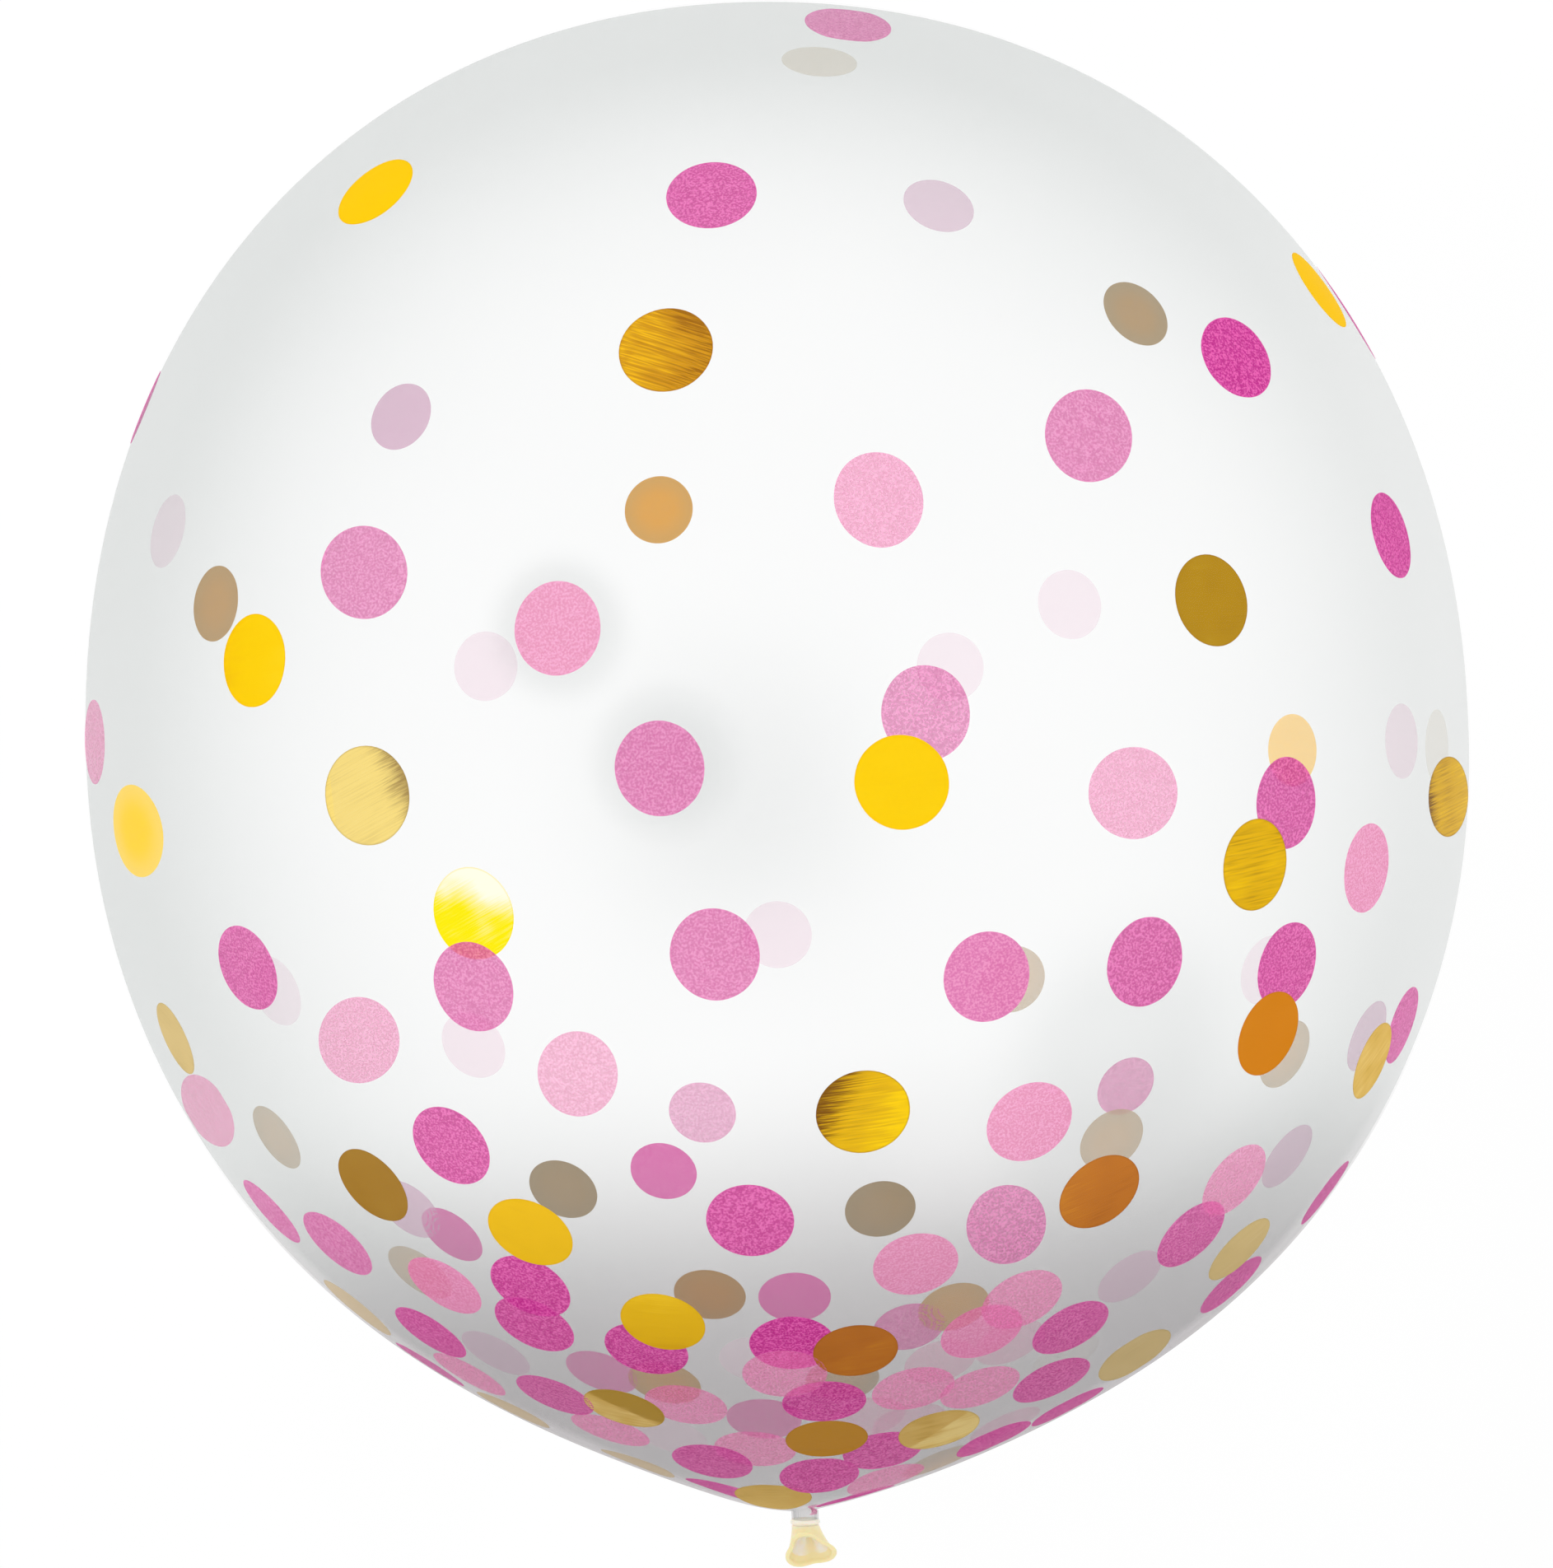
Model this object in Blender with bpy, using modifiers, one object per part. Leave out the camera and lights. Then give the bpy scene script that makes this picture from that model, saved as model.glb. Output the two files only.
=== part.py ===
"""Clear round party balloon, blown up and knotted, lying on its side with its crown towards +Y.

The balloon is one dipped piece of latex: a round body that tapers to a short neck, a knot, and a
flared tail whose rolled lip faces up and forwards. It is sealed, so its body is modelled as a solid
of its outer shape, and only the tail beyond the knot is an open cup with a wall. The origin is on the
floor, under the middle of the whole balloon. Units are metres.
"""

import math

import bpy
from mathutils import Vector

# Driving dimensions: the blown-up body
BODY_RADIUS = 0.305  # sold as 24 inches across
CROWN_HEIGHT = 0.326  # from the widest circle to the top of the crown
CROWN_FULLNESS = 2.12  # exponent of the crown's profile, where 2 is an ellipse
TAPER_DEPTH = 0.3407  # from the widest circle to the start of the neck
TAPER_ALONG = 2.11  # exponents of the tapered half's profile, along the axis and across it
TAPER_ACROSS = 1.63
TUCK = 0.37  # how far the skin is drawn in as it reaches the neck
TUCK_SHARPNESS = 10.1
CONTACT_RADIUS = 0.036  # half the width of the flat patch that the balloon rests on

# Driving dimensions: the neck and the knot
NECK_RADIUS = 0.0060
NECK_BLEND = 4.0  # how tightly the neck meets the body: higher is a sharper corner
NECK_LENGTH = 0.0039
NECK_OFFSET = 0.0073  # the knot was pulled to one side
LEAN_LENGTH = 0.010  # stretch of the body that leans over with it
KNOT_RADIUS = 0.0067
KNOT_LENGTH = 0.0024

# Driving dimensions: the tail
WAIST_RADIUS = 0.0056  # where it leaves the knot
TAIL_LENGTH = 0.0125
LIP_RADIUS = 0.0100  # to the middle of the rolled bead
TAIL_WALL = 0.0009
BEAD_RADIUS = 0.0011
CURL_GAP = 0.0020  # from the lip's nearest corner to the centre that the tail curls about
FLARE = 0.55  # 0 opens evenly, 1 opens like a trumpet
LOBES = 3  # the mouth sags into this many rounded corners
LOBE_DEPTH = 0.18  # as a share of the tail's radius
LOBE_TURN = math.radians(15.0)

# How finely the surfaces are divided
SIDES = 64
CROWN_STEPS = 15
TAPER_STEPS = 22
KNOT_STEPS = 5
FLARE_STEPS = 7
BEAD_STEPS = 6
MERGE_DISTANCE = 0.00002
CUTTER_MARGIN = 0.05

LATEX_COLOUR = (0.86, 0.87, 0.86)
LATEX_ALPHA = 0.35
LATEX_ROUGHNESS = 0.12

# Places along the axis, counted from the widest circle
KNOT_START = -TAPER_DEPTH - NECK_LENGTH
KNOT_END = KNOT_START - KNOT_LENGTH
LIP_PLACE = KNOT_END - TAIL_LENGTH


def clear_scene():
    for obj in list(bpy.data.objects):
        bpy.data.objects.remove(obj, do_unlink=True)


def collection_named(name):
    made = bpy.data.collections.new(name)
    bpy.context.scene.collection.children.link(made)
    return made


def crown_profile():
    """From the pole of the crown down to just above the widest circle."""
    points = [(0.0, CROWN_HEIGHT)]
    power = 2 / CROWN_FULLNESS
    for step in range(CROWN_STEPS - 1, 0, -1):
        angle = math.pi / 2 * step / CROWN_STEPS
        radius = BODY_RADIUS * math.cos(angle) ** power
        points.append((radius, CROWN_HEIGHT * math.sin(angle) ** power))
    return points


def taper_radius(share):
    """Radius of the tapered half at a share of its depth, easing into the neck's radius."""
    across = max(1 - share**TAPER_ALONG, 0.0) ** (1 / TAPER_ACROSS)
    body = BODY_RADIUS * across * (1 - TUCK * share**TUCK_SHARPNESS)
    return (body**NECK_BLEND + NECK_RADIUS**NECK_BLEND) ** (1 / NECK_BLEND)


def taper_profile():
    """From the widest circle down to the neck, in steps that close up where it turns in."""
    points = []
    for step in range(TAPER_STEPS):
        share = math.sin(math.pi / 2 * step / TAPER_STEPS)
        points.append((taper_radius(share), -TAPER_DEPTH * share))
    return points


def knot_profile():
    """The neck and the rolled knot: a half round bulge between the neck and the waist of the tail."""
    points = [(NECK_RADIUS, -TAPER_DEPTH)]
    for step in range(KNOT_STEPS + 1):
        share = step / KNOT_STEPS
        foot = NECK_RADIUS + (WAIST_RADIUS - NECK_RADIUS) * share
        bulge = (KNOT_RADIUS - foot) * math.sin(math.pi * share)
        points.append((foot + bulge, KNOT_START - KNOT_LENGTH * share))
    return points


def flare_radius(share):
    """Radius of the middle of the tail's wall at a share of its length."""
    opening = 1 - math.cos(math.pi / 2 * share)
    return WAIST_RADIUS + (LIP_RADIUS - WAIST_RADIUS) * ((1 - FLARE) * share + FLARE * opening)


def bead_profile():
    """The rolled lip, from where it leaves the tail's outside to where it meets the inside."""
    meets = math.acos(min(TAIL_WALL / 2 / BEAD_RADIUS, 1.0))
    points = []
    for step in range(BEAD_STEPS + 1):
        angle = meets - (math.pi + 2 * meets) * step / BEAD_STEPS
        points.append(
            (
                LIP_RADIUS + BEAD_RADIUS * math.cos(angle),
                LIP_PLACE + BEAD_RADIUS * math.sin(angle),
            )
        )
    return points


def tail_profile():
    """Down the outside of the tail, round the bead of its lip and back up the inside to the throat."""
    half_wall = TAIL_WALL / 2
    shares = [step / FLARE_STEPS for step in range(1, FLARE_STEPS)]
    outside = [(flare_radius(s) + half_wall, KNOT_END - TAIL_LENGTH * s) for s in shares]
    inside = [(flare_radius(s) - half_wall, KNOT_END - TAIL_LENGTH * s) for s in reversed(shares)]
    throat = [(0.0, KNOT_END - TAIL_WALL)]
    return outside + bead_profile() + inside + throat


def turned(name, profile, collection):
    """A closed solid of the profile, turned about the Z axis."""
    mesh = bpy.data.meshes.new(name)
    corners = [(radius, 0.0, height) for radius, height in profile]
    mesh.from_pydata(corners, [(i, i + 1) for i in range(len(corners) - 1)], [])
    outline = bpy.data.objects.new(name + "_profile", mesh)
    collection.objects.link(outline)
    screw = outline.modifiers.new("Turn", "SCREW")
    screw.axis = "Z"
    screw.steps = SIDES
    screw.render_steps = SIDES
    screw.use_merge_vertices = True
    screw.merge_threshold = MERGE_DISTANCE
    evaluated = outline.evaluated_get(bpy.context.evaluated_depsgraph_get())
    solid = bpy.data.objects.new(name, bpy.data.meshes.new_from_object(evaluated))
    collection.objects.link(solid)
    bpy.data.objects.remove(outline, do_unlink=True)
    return solid


def leaned(point):
    """Moves the neck, and all that follows it, to the side that the knot was pulled to."""
    past = -point.z - (TAPER_DEPTH - LEAN_LENGTH)
    share = min(max(past / LEAN_LENGTH, 0.0), 1.0)
    return point + Vector((NECK_OFFSET * share**2, 0.0, 0.0))


def lobed(point, share):
    """Draws the round tail in between its corners, more and more towards the mouth."""
    around = math.atan2(point.y, point.x)
    swell = 1 + LOBE_DEPTH * share * math.cos(LOBES * (around - LOBE_TURN))
    return Vector((point.x * swell, point.y * swell, point.z))


def curled(point, along):
    """Bends what lies beyond the knot along an arc, towards -Y, which faces up once the balloon lies."""
    arc_radius = LIP_RADIUS * (1 + LOBE_DEPTH) + BEAD_RADIUS + CURL_GAP
    angle = along / arc_radius
    reach = arc_radius + point.y
    return Vector(
        (
            point.x,
            reach * math.cos(angle) - arc_radius,
            KNOT_END - reach * math.sin(angle),
        )
    )


def shape_skin(mesh):
    for vertex in mesh.vertices:
        along = KNOT_END - vertex.co.z
        if along > 0:
            share = min(along / TAIL_LENGTH, 1.0)
            vertex.co = curled(lobed(vertex.co, share), along)
        vertex.co = leaned(vertex.co)


def rest_height():
    """Height of the axis over the floor once the contact patch is pressed flat."""
    return math.sqrt(BODY_RADIUS**2 - CONTACT_RADIUS**2)


def lay_down(solid):
    """Turns the crown towards +Y and sets the middle of the whole length over the origin."""
    lowest = min(vertex.co.z for vertex in solid.data.vertices)
    solid.rotation_euler = (math.radians(-90.0), 0.0, 0.0)
    solid.location = (0.0, -(CROWN_HEIGHT + lowest) / 2, rest_height())


def floor_cutter(collection):
    """A block under the floor, which presses the contact patch flat."""
    side = 2 * (BODY_RADIUS + CUTTER_MARGIN)
    bpy.ops.mesh.primitive_cube_add(size=1.0, location=(0.0, 0.0, -CUTTER_MARGIN / 2))
    cutter = bpy.context.object
    cutter.name = "floor_cutter"
    cutter.scale = (side, side, CUTTER_MARGIN)
    for home in list(cutter.users_collection):
        home.objects.unlink(cutter)
    collection.objects.link(cutter)
    cutter.hide_render = True
    cutter.display_type = "WIRE"
    return cutter


def latex_material():
    material = bpy.data.materials.new("clear_latex")
    material.use_nodes = True
    shader = material.node_tree.nodes["Principled BSDF"]
    shader.inputs["Base Color"].default_value = (*LATEX_COLOUR, 1.0)
    shader.inputs["Alpha"].default_value = LATEX_ALPHA
    shader.inputs["Roughness"].default_value = LATEX_ROUGHNESS
    shader.inputs["Metallic"].default_value = 0.0
    return material


def main():
    clear_scene()
    parts = collection_named("confetti_balloon")
    cutters = collection_named("cutters")
    profile = crown_profile() + taper_profile() + knot_profile() + tail_profile()
    balloon = turned("balloon", profile, parts)
    shape_skin(balloon.data)
    lay_down(balloon)
    balloon.data.materials.append(latex_material())
    balloon.data.shade_smooth()
    press = balloon.modifiers.new("Press flat", "BOOLEAN")
    press.operation = "DIFFERENCE"
    press.solver = "EXACT"
    press.object = floor_cutter(cutters)


main()
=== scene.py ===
"""Looks of the confetti balloon: clear latex, the milky powder inside it, and its confetti.

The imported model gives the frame. One dipped piece of latex, with its knot and tail, takes the place
of the plain solid. Each confetti disc is a piece of its own that lies against the wall, under the
place where the photograph shows it. Everything is in metres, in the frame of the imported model.
"""

import logging
import math
import random
from collections.abc import Callable
from dataclasses import dataclass
from enum import Enum
from functools import partial, reduce

import bmesh
import bpy
import numpy as np
from mathutils import Matrix, Vector


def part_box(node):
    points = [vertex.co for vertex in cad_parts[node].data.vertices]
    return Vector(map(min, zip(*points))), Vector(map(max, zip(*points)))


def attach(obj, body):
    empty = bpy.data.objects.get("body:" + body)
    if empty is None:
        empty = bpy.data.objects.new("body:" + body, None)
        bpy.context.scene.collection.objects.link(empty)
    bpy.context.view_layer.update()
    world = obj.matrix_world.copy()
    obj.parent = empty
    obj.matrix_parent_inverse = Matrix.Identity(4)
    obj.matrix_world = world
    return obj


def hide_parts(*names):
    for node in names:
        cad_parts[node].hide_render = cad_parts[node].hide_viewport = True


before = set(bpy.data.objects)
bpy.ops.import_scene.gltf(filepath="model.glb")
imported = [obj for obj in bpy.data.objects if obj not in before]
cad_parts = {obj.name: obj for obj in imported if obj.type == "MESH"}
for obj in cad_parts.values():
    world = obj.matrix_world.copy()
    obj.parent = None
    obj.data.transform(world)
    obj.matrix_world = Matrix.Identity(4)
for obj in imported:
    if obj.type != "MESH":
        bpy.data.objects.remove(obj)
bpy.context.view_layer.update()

LOG = logging.getLogger("confetti_balloon")
BODY = "root"
NODE = "balloon"
SEED = 24

Colour = tuple[float, float, float]
Place = tuple[float, float, float]
Outline = list[tuple[float, float]]
Outputs = bpy.types.bpy_prop_collection


class Wall(Enum):
    """The wall that a disc clings to, as the camera sees the balloon."""

    NEAR = "near"
    FAR = "far"

    @property
    def facing(self) -> int:
        """1 where the skin's outer side faces the camera, and -1 where its inner side does."""
        return 1 if self is Wall.NEAR else -1


class Paper(Enum):
    """The kinds of confetti in the balloon."""

    MAGENTA = "magenta_tissue"
    ORCHID = "orchid_tissue"
    ORCHID_PLY = "doubled_orchid_tissue"
    ORCHID_CARD = "dense_orchid_tissue"
    PINK = "pink_tissue"
    LILAC = "lilac_tissue"
    BLUSH = "blush_tissue"
    # the foils from LEMON to SMOKE are one gold foil as lit and shaded copies, its reflections
    # painted in
    LEMON = "lemon_foil"
    GOLD = "gold_foil"
    OCHRE = "ochre_foil"
    AMBER = "amber_foil"
    TANGERINE = "tangerine_foil"
    COPPER = "copper_foil"
    BRONZE = "bronze_foil"
    OLIVE = "olive_foil"
    MOSS = "moss_foil"
    CHAMPAGNE = "champagne_foil"
    PALE = "pale_foil"
    ASH = "ashen_foil"
    SMOKE = "smoky_foil"
    CITRON = "citron_foil"
    HONEY = "honey_film"
    # the foil backs: the paper back of the gold foil, partly its own colour and partly painted shade
    # of different depths
    FAWN = "fawn_foil_back"
    TAN = "tan_foil_back"
    BUFF = "buff_foil_back"
    UMBER = "umber_foil_back"
    TAUPE = "taupe_foil_back"
    SAND = "sand_foil_back"
    CREAM = "cream_foil_back"
    IVORY = "ivory_foil_back"


class Sketch:
    """A short way to lay out the nodes of one shader tree."""

    pattern_reach = 3.0

    def __init__(self, tree: bpy.types.NodeTree) -> None:
        """Keeps the tree that the nodes go in."""
        self.tree = tree

    def feed(self, socket: bpy.types.NodeSocket, value: object) -> None:
        """Links an output to the socket, or sets the socket's plain value.

        Args:
            socket: The input that is fed.
            value: An output socket, a number or a colour.
        """
        if isinstance(value, bpy.types.NodeSocket):
            self.tree.links.new(value, socket)
        elif socket.type == "RGBA" and len(value) == 3:
            socket.default_value = (*value, 1.0)
        else:
            socket.default_value = value

    def fill(self, node: bpy.types.Node, **inputs: object) -> bpy.types.Node:
        """Sets or links a node's inputs.

        Args:
            node: The node.
            inputs: Input names, with _ for a space, and a plain value or the output that feeds it.

        Returns:
            The same node.
        """
        for name, value in inputs.items():
            self.feed(node.inputs[name.replace("_", " ")], value)
        return node

    def add(self, kind: str, **inputs: object) -> bpy.types.Node:
        """Adds a node of one of Blender's kinds, and sets or links its inputs."""
        return self.fill(self.tree.nodes.new(kind), **inputs)

    def work(self, kind: str, operation: str, *values: object) -> bpy.types.Node:
        """Adds a node that works something out from its first inputs.

        Args:
            kind: Blender's name of the node.
            operation: Blender's name of the operation.
            values: Plain values or outputs, one for each input in order.

        Returns:
            The new node.
        """
        node = self.add(kind)
        node.operation = operation
        for socket, value in zip(node.inputs, values):
            self.feed(socket, value)
        return node

    def maths(self, operation: str, first: object, second: object) -> bpy.types.NodeSocket:
        """Works out one number from two."""
        return self.work("ShaderNodeMath", operation, first, second).outputs[0]

    def times(self, first: object, second: object) -> bpy.types.NodeSocket:
        """Multiplies two numbers."""
        return self.maths("MULTIPLY", first, second)

    def total(self, *terms: object) -> bpy.types.NodeSocket:
        """Adds numbers up, in order."""
        return reduce(partial(self.maths, "ADD"), terms)

    def ease(self, value: object, start: object, end: object, low: object = 0.0,
             high: object = 1.0) -> bpy.types.NodeSocket:
        """Adds a smooth step from one value to another.

        Args:
            value: What is read.
            start: The reading at which the step begins.
            end: The reading at which it ends.
            low: What comes out before it.
            high: What comes out after it.

        Returns:
            The step's output.
        """
        node = self.add("ShaderNodeMapRange", From_Min=start, From_Max=end, To_Min=low, To_Max=high)
        node.interpolation_type = "SMOOTHSTEP"
        return self.fill(node, Value=value).outputs["Result"]

    def spread(self, pattern: object, half: float, low: float = 0.0,
               high: float = 1.0) -> bpy.types.NodeSocket:
        """Spreads a pattern's middle values, half up and half down, over the whole range."""
        return self.ease(pattern, 0.5 - half, 0.5 + half, low, high)

    def blend(self, share: object, first: object, second: object) -> bpy.types.NodeSocket:
        """Mixes two colours.

        Args:
            share: How much of the second colour shows.
            first: The first colour or the output that gives it.
            second: The second one.

        Returns:
            The mixed colour.
        """
        node = self.add("ShaderNodeMix")
        node.data_type = "RGBA"
        for number, value in ((0, share), (6, first), (7, second)):
            self.feed(node.inputs[number], value)
        return node.outputs[2]

    def noise(self, vector: bpy.types.NodeSocket, scale: object, detail: float,
              stretch: Place = (1.0, 1.0, 1.0), turn: float = 0.0) -> bpy.types.NodeSocket:
        """Adds a noise pattern, stretched along its own axes.

        Args:
            vector: The coordinates, in metres.
            scale: Cells in a metre.
            detail: How many finer layers it has.
            stretch: How much finer the cells are along each axis.
            turn: Turn of the pattern about Z, in radians.

        Returns:
            The pattern's value from 0 to 1.
        """
        place = self.add("ShaderNodeMapping", Vector=vector, Rotation=(0.0, 0.0, turn),
                         Scale=stretch)
        node = self.add("ShaderNodeTexNoise", Vector=place.outputs[0], Scale=scale, Detail=detail)
        return node.outputs["Fac"]

    def read(self, name: str) -> bpy.types.NodeSocket:
        """Reads a number that the mesh holds for each of its points.

        Args:
            name: The attribute's name.

        Returns:
            The output that gives it.
        """
        node = self.add("ShaderNodeAttribute")
        node.attribute_name = name
        return node.outputs["Fac"]

    def edge_on(self) -> bpy.types.NodeSocket:
        """Gives how far the surface is seen edge on, from 0 to 1."""
        return self.add("ShaderNodeLayerWeight", Blend=0.5).outputs["Facing"]

    def own_place(self) -> bpy.types.NodeSocket:
        """Gives the piece's own coordinates, in metres."""
        return self.add("ShaderNodeTexCoord").outputs["Object"]

    def shifted_place(self) -> bpy.types.NodeSocket:
        """Adds coordinates that start at another place of the pattern on each piece.

        Returns:
            The output that gives them.
        """
        aside = self.times(self.add("ShaderNodeObjectInfo").outputs["Random"], self.pattern_reach)
        shift = self.add("ShaderNodeCombineXYZ", X=aside, Y=aside, Z=aside).outputs[0]
        return self.work("ShaderNodeVectorMath", "ADD", self.own_place(), shift).outputs[0]

    def relief(self, height: object, strength: float, depth: float) -> bpy.types.NodeSocket:
        """Gives the normal of a surface with fine relief, depth metres deep."""
        return self.add("ShaderNodeBump", Height=height, Strength=strength,
                        Distance=depth).outputs[0]


class GroupKit:
    """The shader groups that several finishes share, each built once."""

    fibre_stretch = (1.0, 2.2, 1.0)
    fibre_turns = (0.3, 1.4, 2.5)

    def __init__(self) -> None:
        """Starts with no group made."""
        self.made: dict[str, bpy.types.NodeTree] = {}

    def start(self, name: str, gives: tuple[str, ...],
              **takes: float | None) -> tuple[Sketch, Outputs, bpy.types.Node]:
        """Makes an empty group with named sockets.

        Args:
            name: The group's name.
            gives: The names of its outputs, all of them numbers.
            takes: The names of its inputs, with _ for a space, and their usual numbers. None
                stands for coordinates.

        Returns:
            The group's sketch, what it takes, and the node that its results go to.
        """
        tree = bpy.data.node_groups.new(name, "ShaderNodeTree")
        for label, usual in takes.items():
            kind = "NodeSocketVector" if usual is None else "NodeSocketFloat"
            socket = tree.interface.new_socket(label.replace("_", " "), in_out="INPUT",
                                               socket_type=kind)
            if usual is not None:
                socket.default_value = usual
        for label in gives:
            tree.interface.new_socket(label, in_out="OUTPUT", socket_type="NodeSocketFloat")
        self.made[name] = tree
        sketch = Sketch(tree)
        return sketch, sketch.add("NodeGroupInput").outputs, sketch.add("NodeGroupOutput")

    def place(self, sketch: Sketch, name: str, **inputs: object) -> Outputs:
        """Puts a group in a material.

        Args:
            sketch: The material's sketch.
            name: The group's name.
            inputs: The group's inputs, as Sketch.fill takes them.

        Returns:
            The group's outputs.
        """
        node = sketch.add("ShaderNodeGroup")
        node.node_tree = self.made[name]
        return sketch.fill(node, **inputs).outputs

    def build(self) -> None:
        """Builds every group."""
        self.build_stretch_and_shade()
        self.build_fibres()
        self.build_brushing()
        self.build_edge()

    def build_stretch_and_shade(self) -> None:
        """How thick the latex is left: thin in the middle, thicker at the crown and the neck.
        Towards the neck it also carries painted shade, slanted sideways by Drift.
        """
        sketch, taken, out = self.start(
            "latex_stretch", ("Crown", "Gather", "Neck", "Clouds"), Vector=None, Crown_Start=0.29,
            Crown_End=0.346, Neck_Start=-0.125, Neck_End=-0.262, Throat_Start=-0.300,
            Throat_End=-0.340, Throat_Share=0.35, Cloud_Scale=7.0, Drift=0.0)
        place = sketch.add("ShaderNodeSeparateXYZ", Vector=taken["Vector"]).outputs
        # Drift slants the painted shade towards the neck to one side
        leaning = sketch.maths("SUBTRACT", place["Y"], sketch.times(place["X"], taken["Drift"]))
        gather = sketch.ease(leaning, taken["Neck Start"], taken["Neck End"])
        throat = sketch.ease(place["Y"], taken["Throat Start"], taken["Throat End"], 1.0,
                             taken["Throat Share"])
        clouds = sketch.noise(taken["Vector"], taken["Cloud Scale"], 1.5)
        sketch.fill(out, Crown=sketch.ease(place["Y"], taken["Crown Start"], taken["Crown End"]),
                    Gather=gather, Neck=sketch.times(throat, gather),
                    Clouds=sketch.spread(clouds, 0.15, -1.0))

    def build_fibres(self) -> None:
        """Tissue paper's fine pulp, the short fibres in it and its broader cloudiness."""
        sketch, taken, out = self.start(
            "tissue_fibres", ("Mottle", "Relief"), Vector=None, Pulp_Scale=1050.0,
            Cloud_Scale=330.0, Fibre_Scale=700.0, Pulp_Share=0.78, Cloud_Share=0.22,
            Fibre_Share=0.2)
        pulp, clouds = [sketch.noise(taken["Vector"], taken[scale], 2.0)
                        for scale in ("Pulp Scale", "Cloud Scale")]
        fibres = [sketch.noise(taken["Vector"], taken["Fibre Scale"], 2.0, self.fibre_stretch, turn)
                  for turn in self.fibre_turns]
        flecks = sketch.ease(reduce(partial(sketch.maths, "MAXIMUM"), fibres), 0.50, 0.76)
        mottle = sketch.total(sketch.times(sketch.spread(pulp, 0.16), taken["Pulp Share"]),
                              sketch.times(sketch.spread(clouds, 0.2), taken["Cloud Share"]))
        pale = sketch.times(flecks, taken["Fibre Share"])
        sketch.fill(out, Mottle=sketch.maths("SUBTRACT", mottle, pale),
                    Relief=sketch.total(pulp, flecks))

    def build_brushing(self) -> None:
        """The fine straight scratches of brushed foil, with broader bands among them."""
        sketch, taken, out = self.start("brushed_foil", ("Scratches", "Bands"), Vector=None,
                                        Scratch_Scale=1900.0, Band_Scale=70.0, Length=0.022)
        longer = sketch.add("ShaderNodeCombineXYZ", X=taken["Length"], Y=1.0, Z=1.0).outputs[0]
        drawn = sketch.work("ShaderNodeVectorMath", "MULTIPLY", taken["Vector"], longer)
        fine = sketch.noise(drawn.outputs[0], taken["Scratch Scale"], 3.0)
        bands = sketch.noise(taken["Vector"], taken["Band Scale"], 1.5)
        sketch.fill(out, Scratches=sketch.spread(fine, 0.17, -1.0),
                    Bands=sketch.spread(bands, 0.18, -1.0))

    def build_edge(self) -> None:
        """The thin line along a disc's cut edge, and a soft fade towards it."""
        sketch, taken, out = self.start("cut_edge", ("Line", "Fade"), Line_Start=0.955,
                                        Fade_Start=0.35)
        reach = sketch.read("reach")
        sketch.fill(out, Line=sketch.ease(reach, taken["Line Start"], 1.0),
                    Fade=sketch.ease(reach, taken["Fade Start"], 1.0))


def started_material(name: str) -> tuple[bpy.types.Material, Sketch, bpy.types.Node]:
    """Starts a node material.

    Args:
        name: The material's name.

    Returns:
        The material, its sketch and its Principled shader.
    """
    material = bpy.data.materials.new(name)
    material.use_nodes = True
    return material, Sketch(material.node_tree), material.node_tree.nodes["Principled BSDF"]


@dataclass(frozen=True)
class TissueFinish:
    """Thin coloured tissue paper, a little see-through, or the paper back of a foil disc."""

    colour: Colour
    thin_colour: Colour
    cover: float
    fade: float = 0.0
    fade_colour: Colour = (0.6, 0.55, 0.5)
    mottle: float = 0.5
    slot: str = "foil_gold"
    full_mottle: float = 0.75
    line_share: float = 0.25
    cover_swing: float = 0.03
    tone_cover: float = -0.16

    def build(self, name: str, kit: GroupKit) -> bpy.types.Material:
        """Makes the paper's material.

        Args:
            name: The material's name.
            kit: The shared groups.

        Returns:
            The material.
        """
        material, sketch, shader = started_material(name)
        fibres = kit.place(sketch, "tissue_fibres", Vector=sketch.shifted_place())
        edge = kit.place(sketch, "cut_edge")
        half = 0.5 * self.mottle
        share = sketch.ease(fibres["Mottle"], 0.0, self.full_mottle, 0.5 - half, 0.5 + half)
        body = sketch.blend(share, self.thin_colour, self.colour)
        faded = sketch.blend(sketch.times(edge["Fade"], self.fade), body, self.fade_colour)
        rim = sketch.blend(sketch.times(edge["Line"], self.line_share), faded, self.thin_colour)
        each_face = 1 - math.sqrt(1 - self.cover)
        swing = self.cover_swing * self.mottle * each_face
        cover = sketch.ease(fibres["Mottle"], 0.0, self.full_mottle, each_face - swing,
                            each_face + swing)
        thinned = sketch.times(sketch.read("bend"), self.tone_cover)
        sketch.fill(shader, Base_Color=rim, Alpha=sketch.total(cover, thinned), Roughness=0.85,
                    Specular_IOR_Level=0.05, Normal=sketch.relief(fibres["Relief"], 0.25, 0.0001))
        return material


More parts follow.
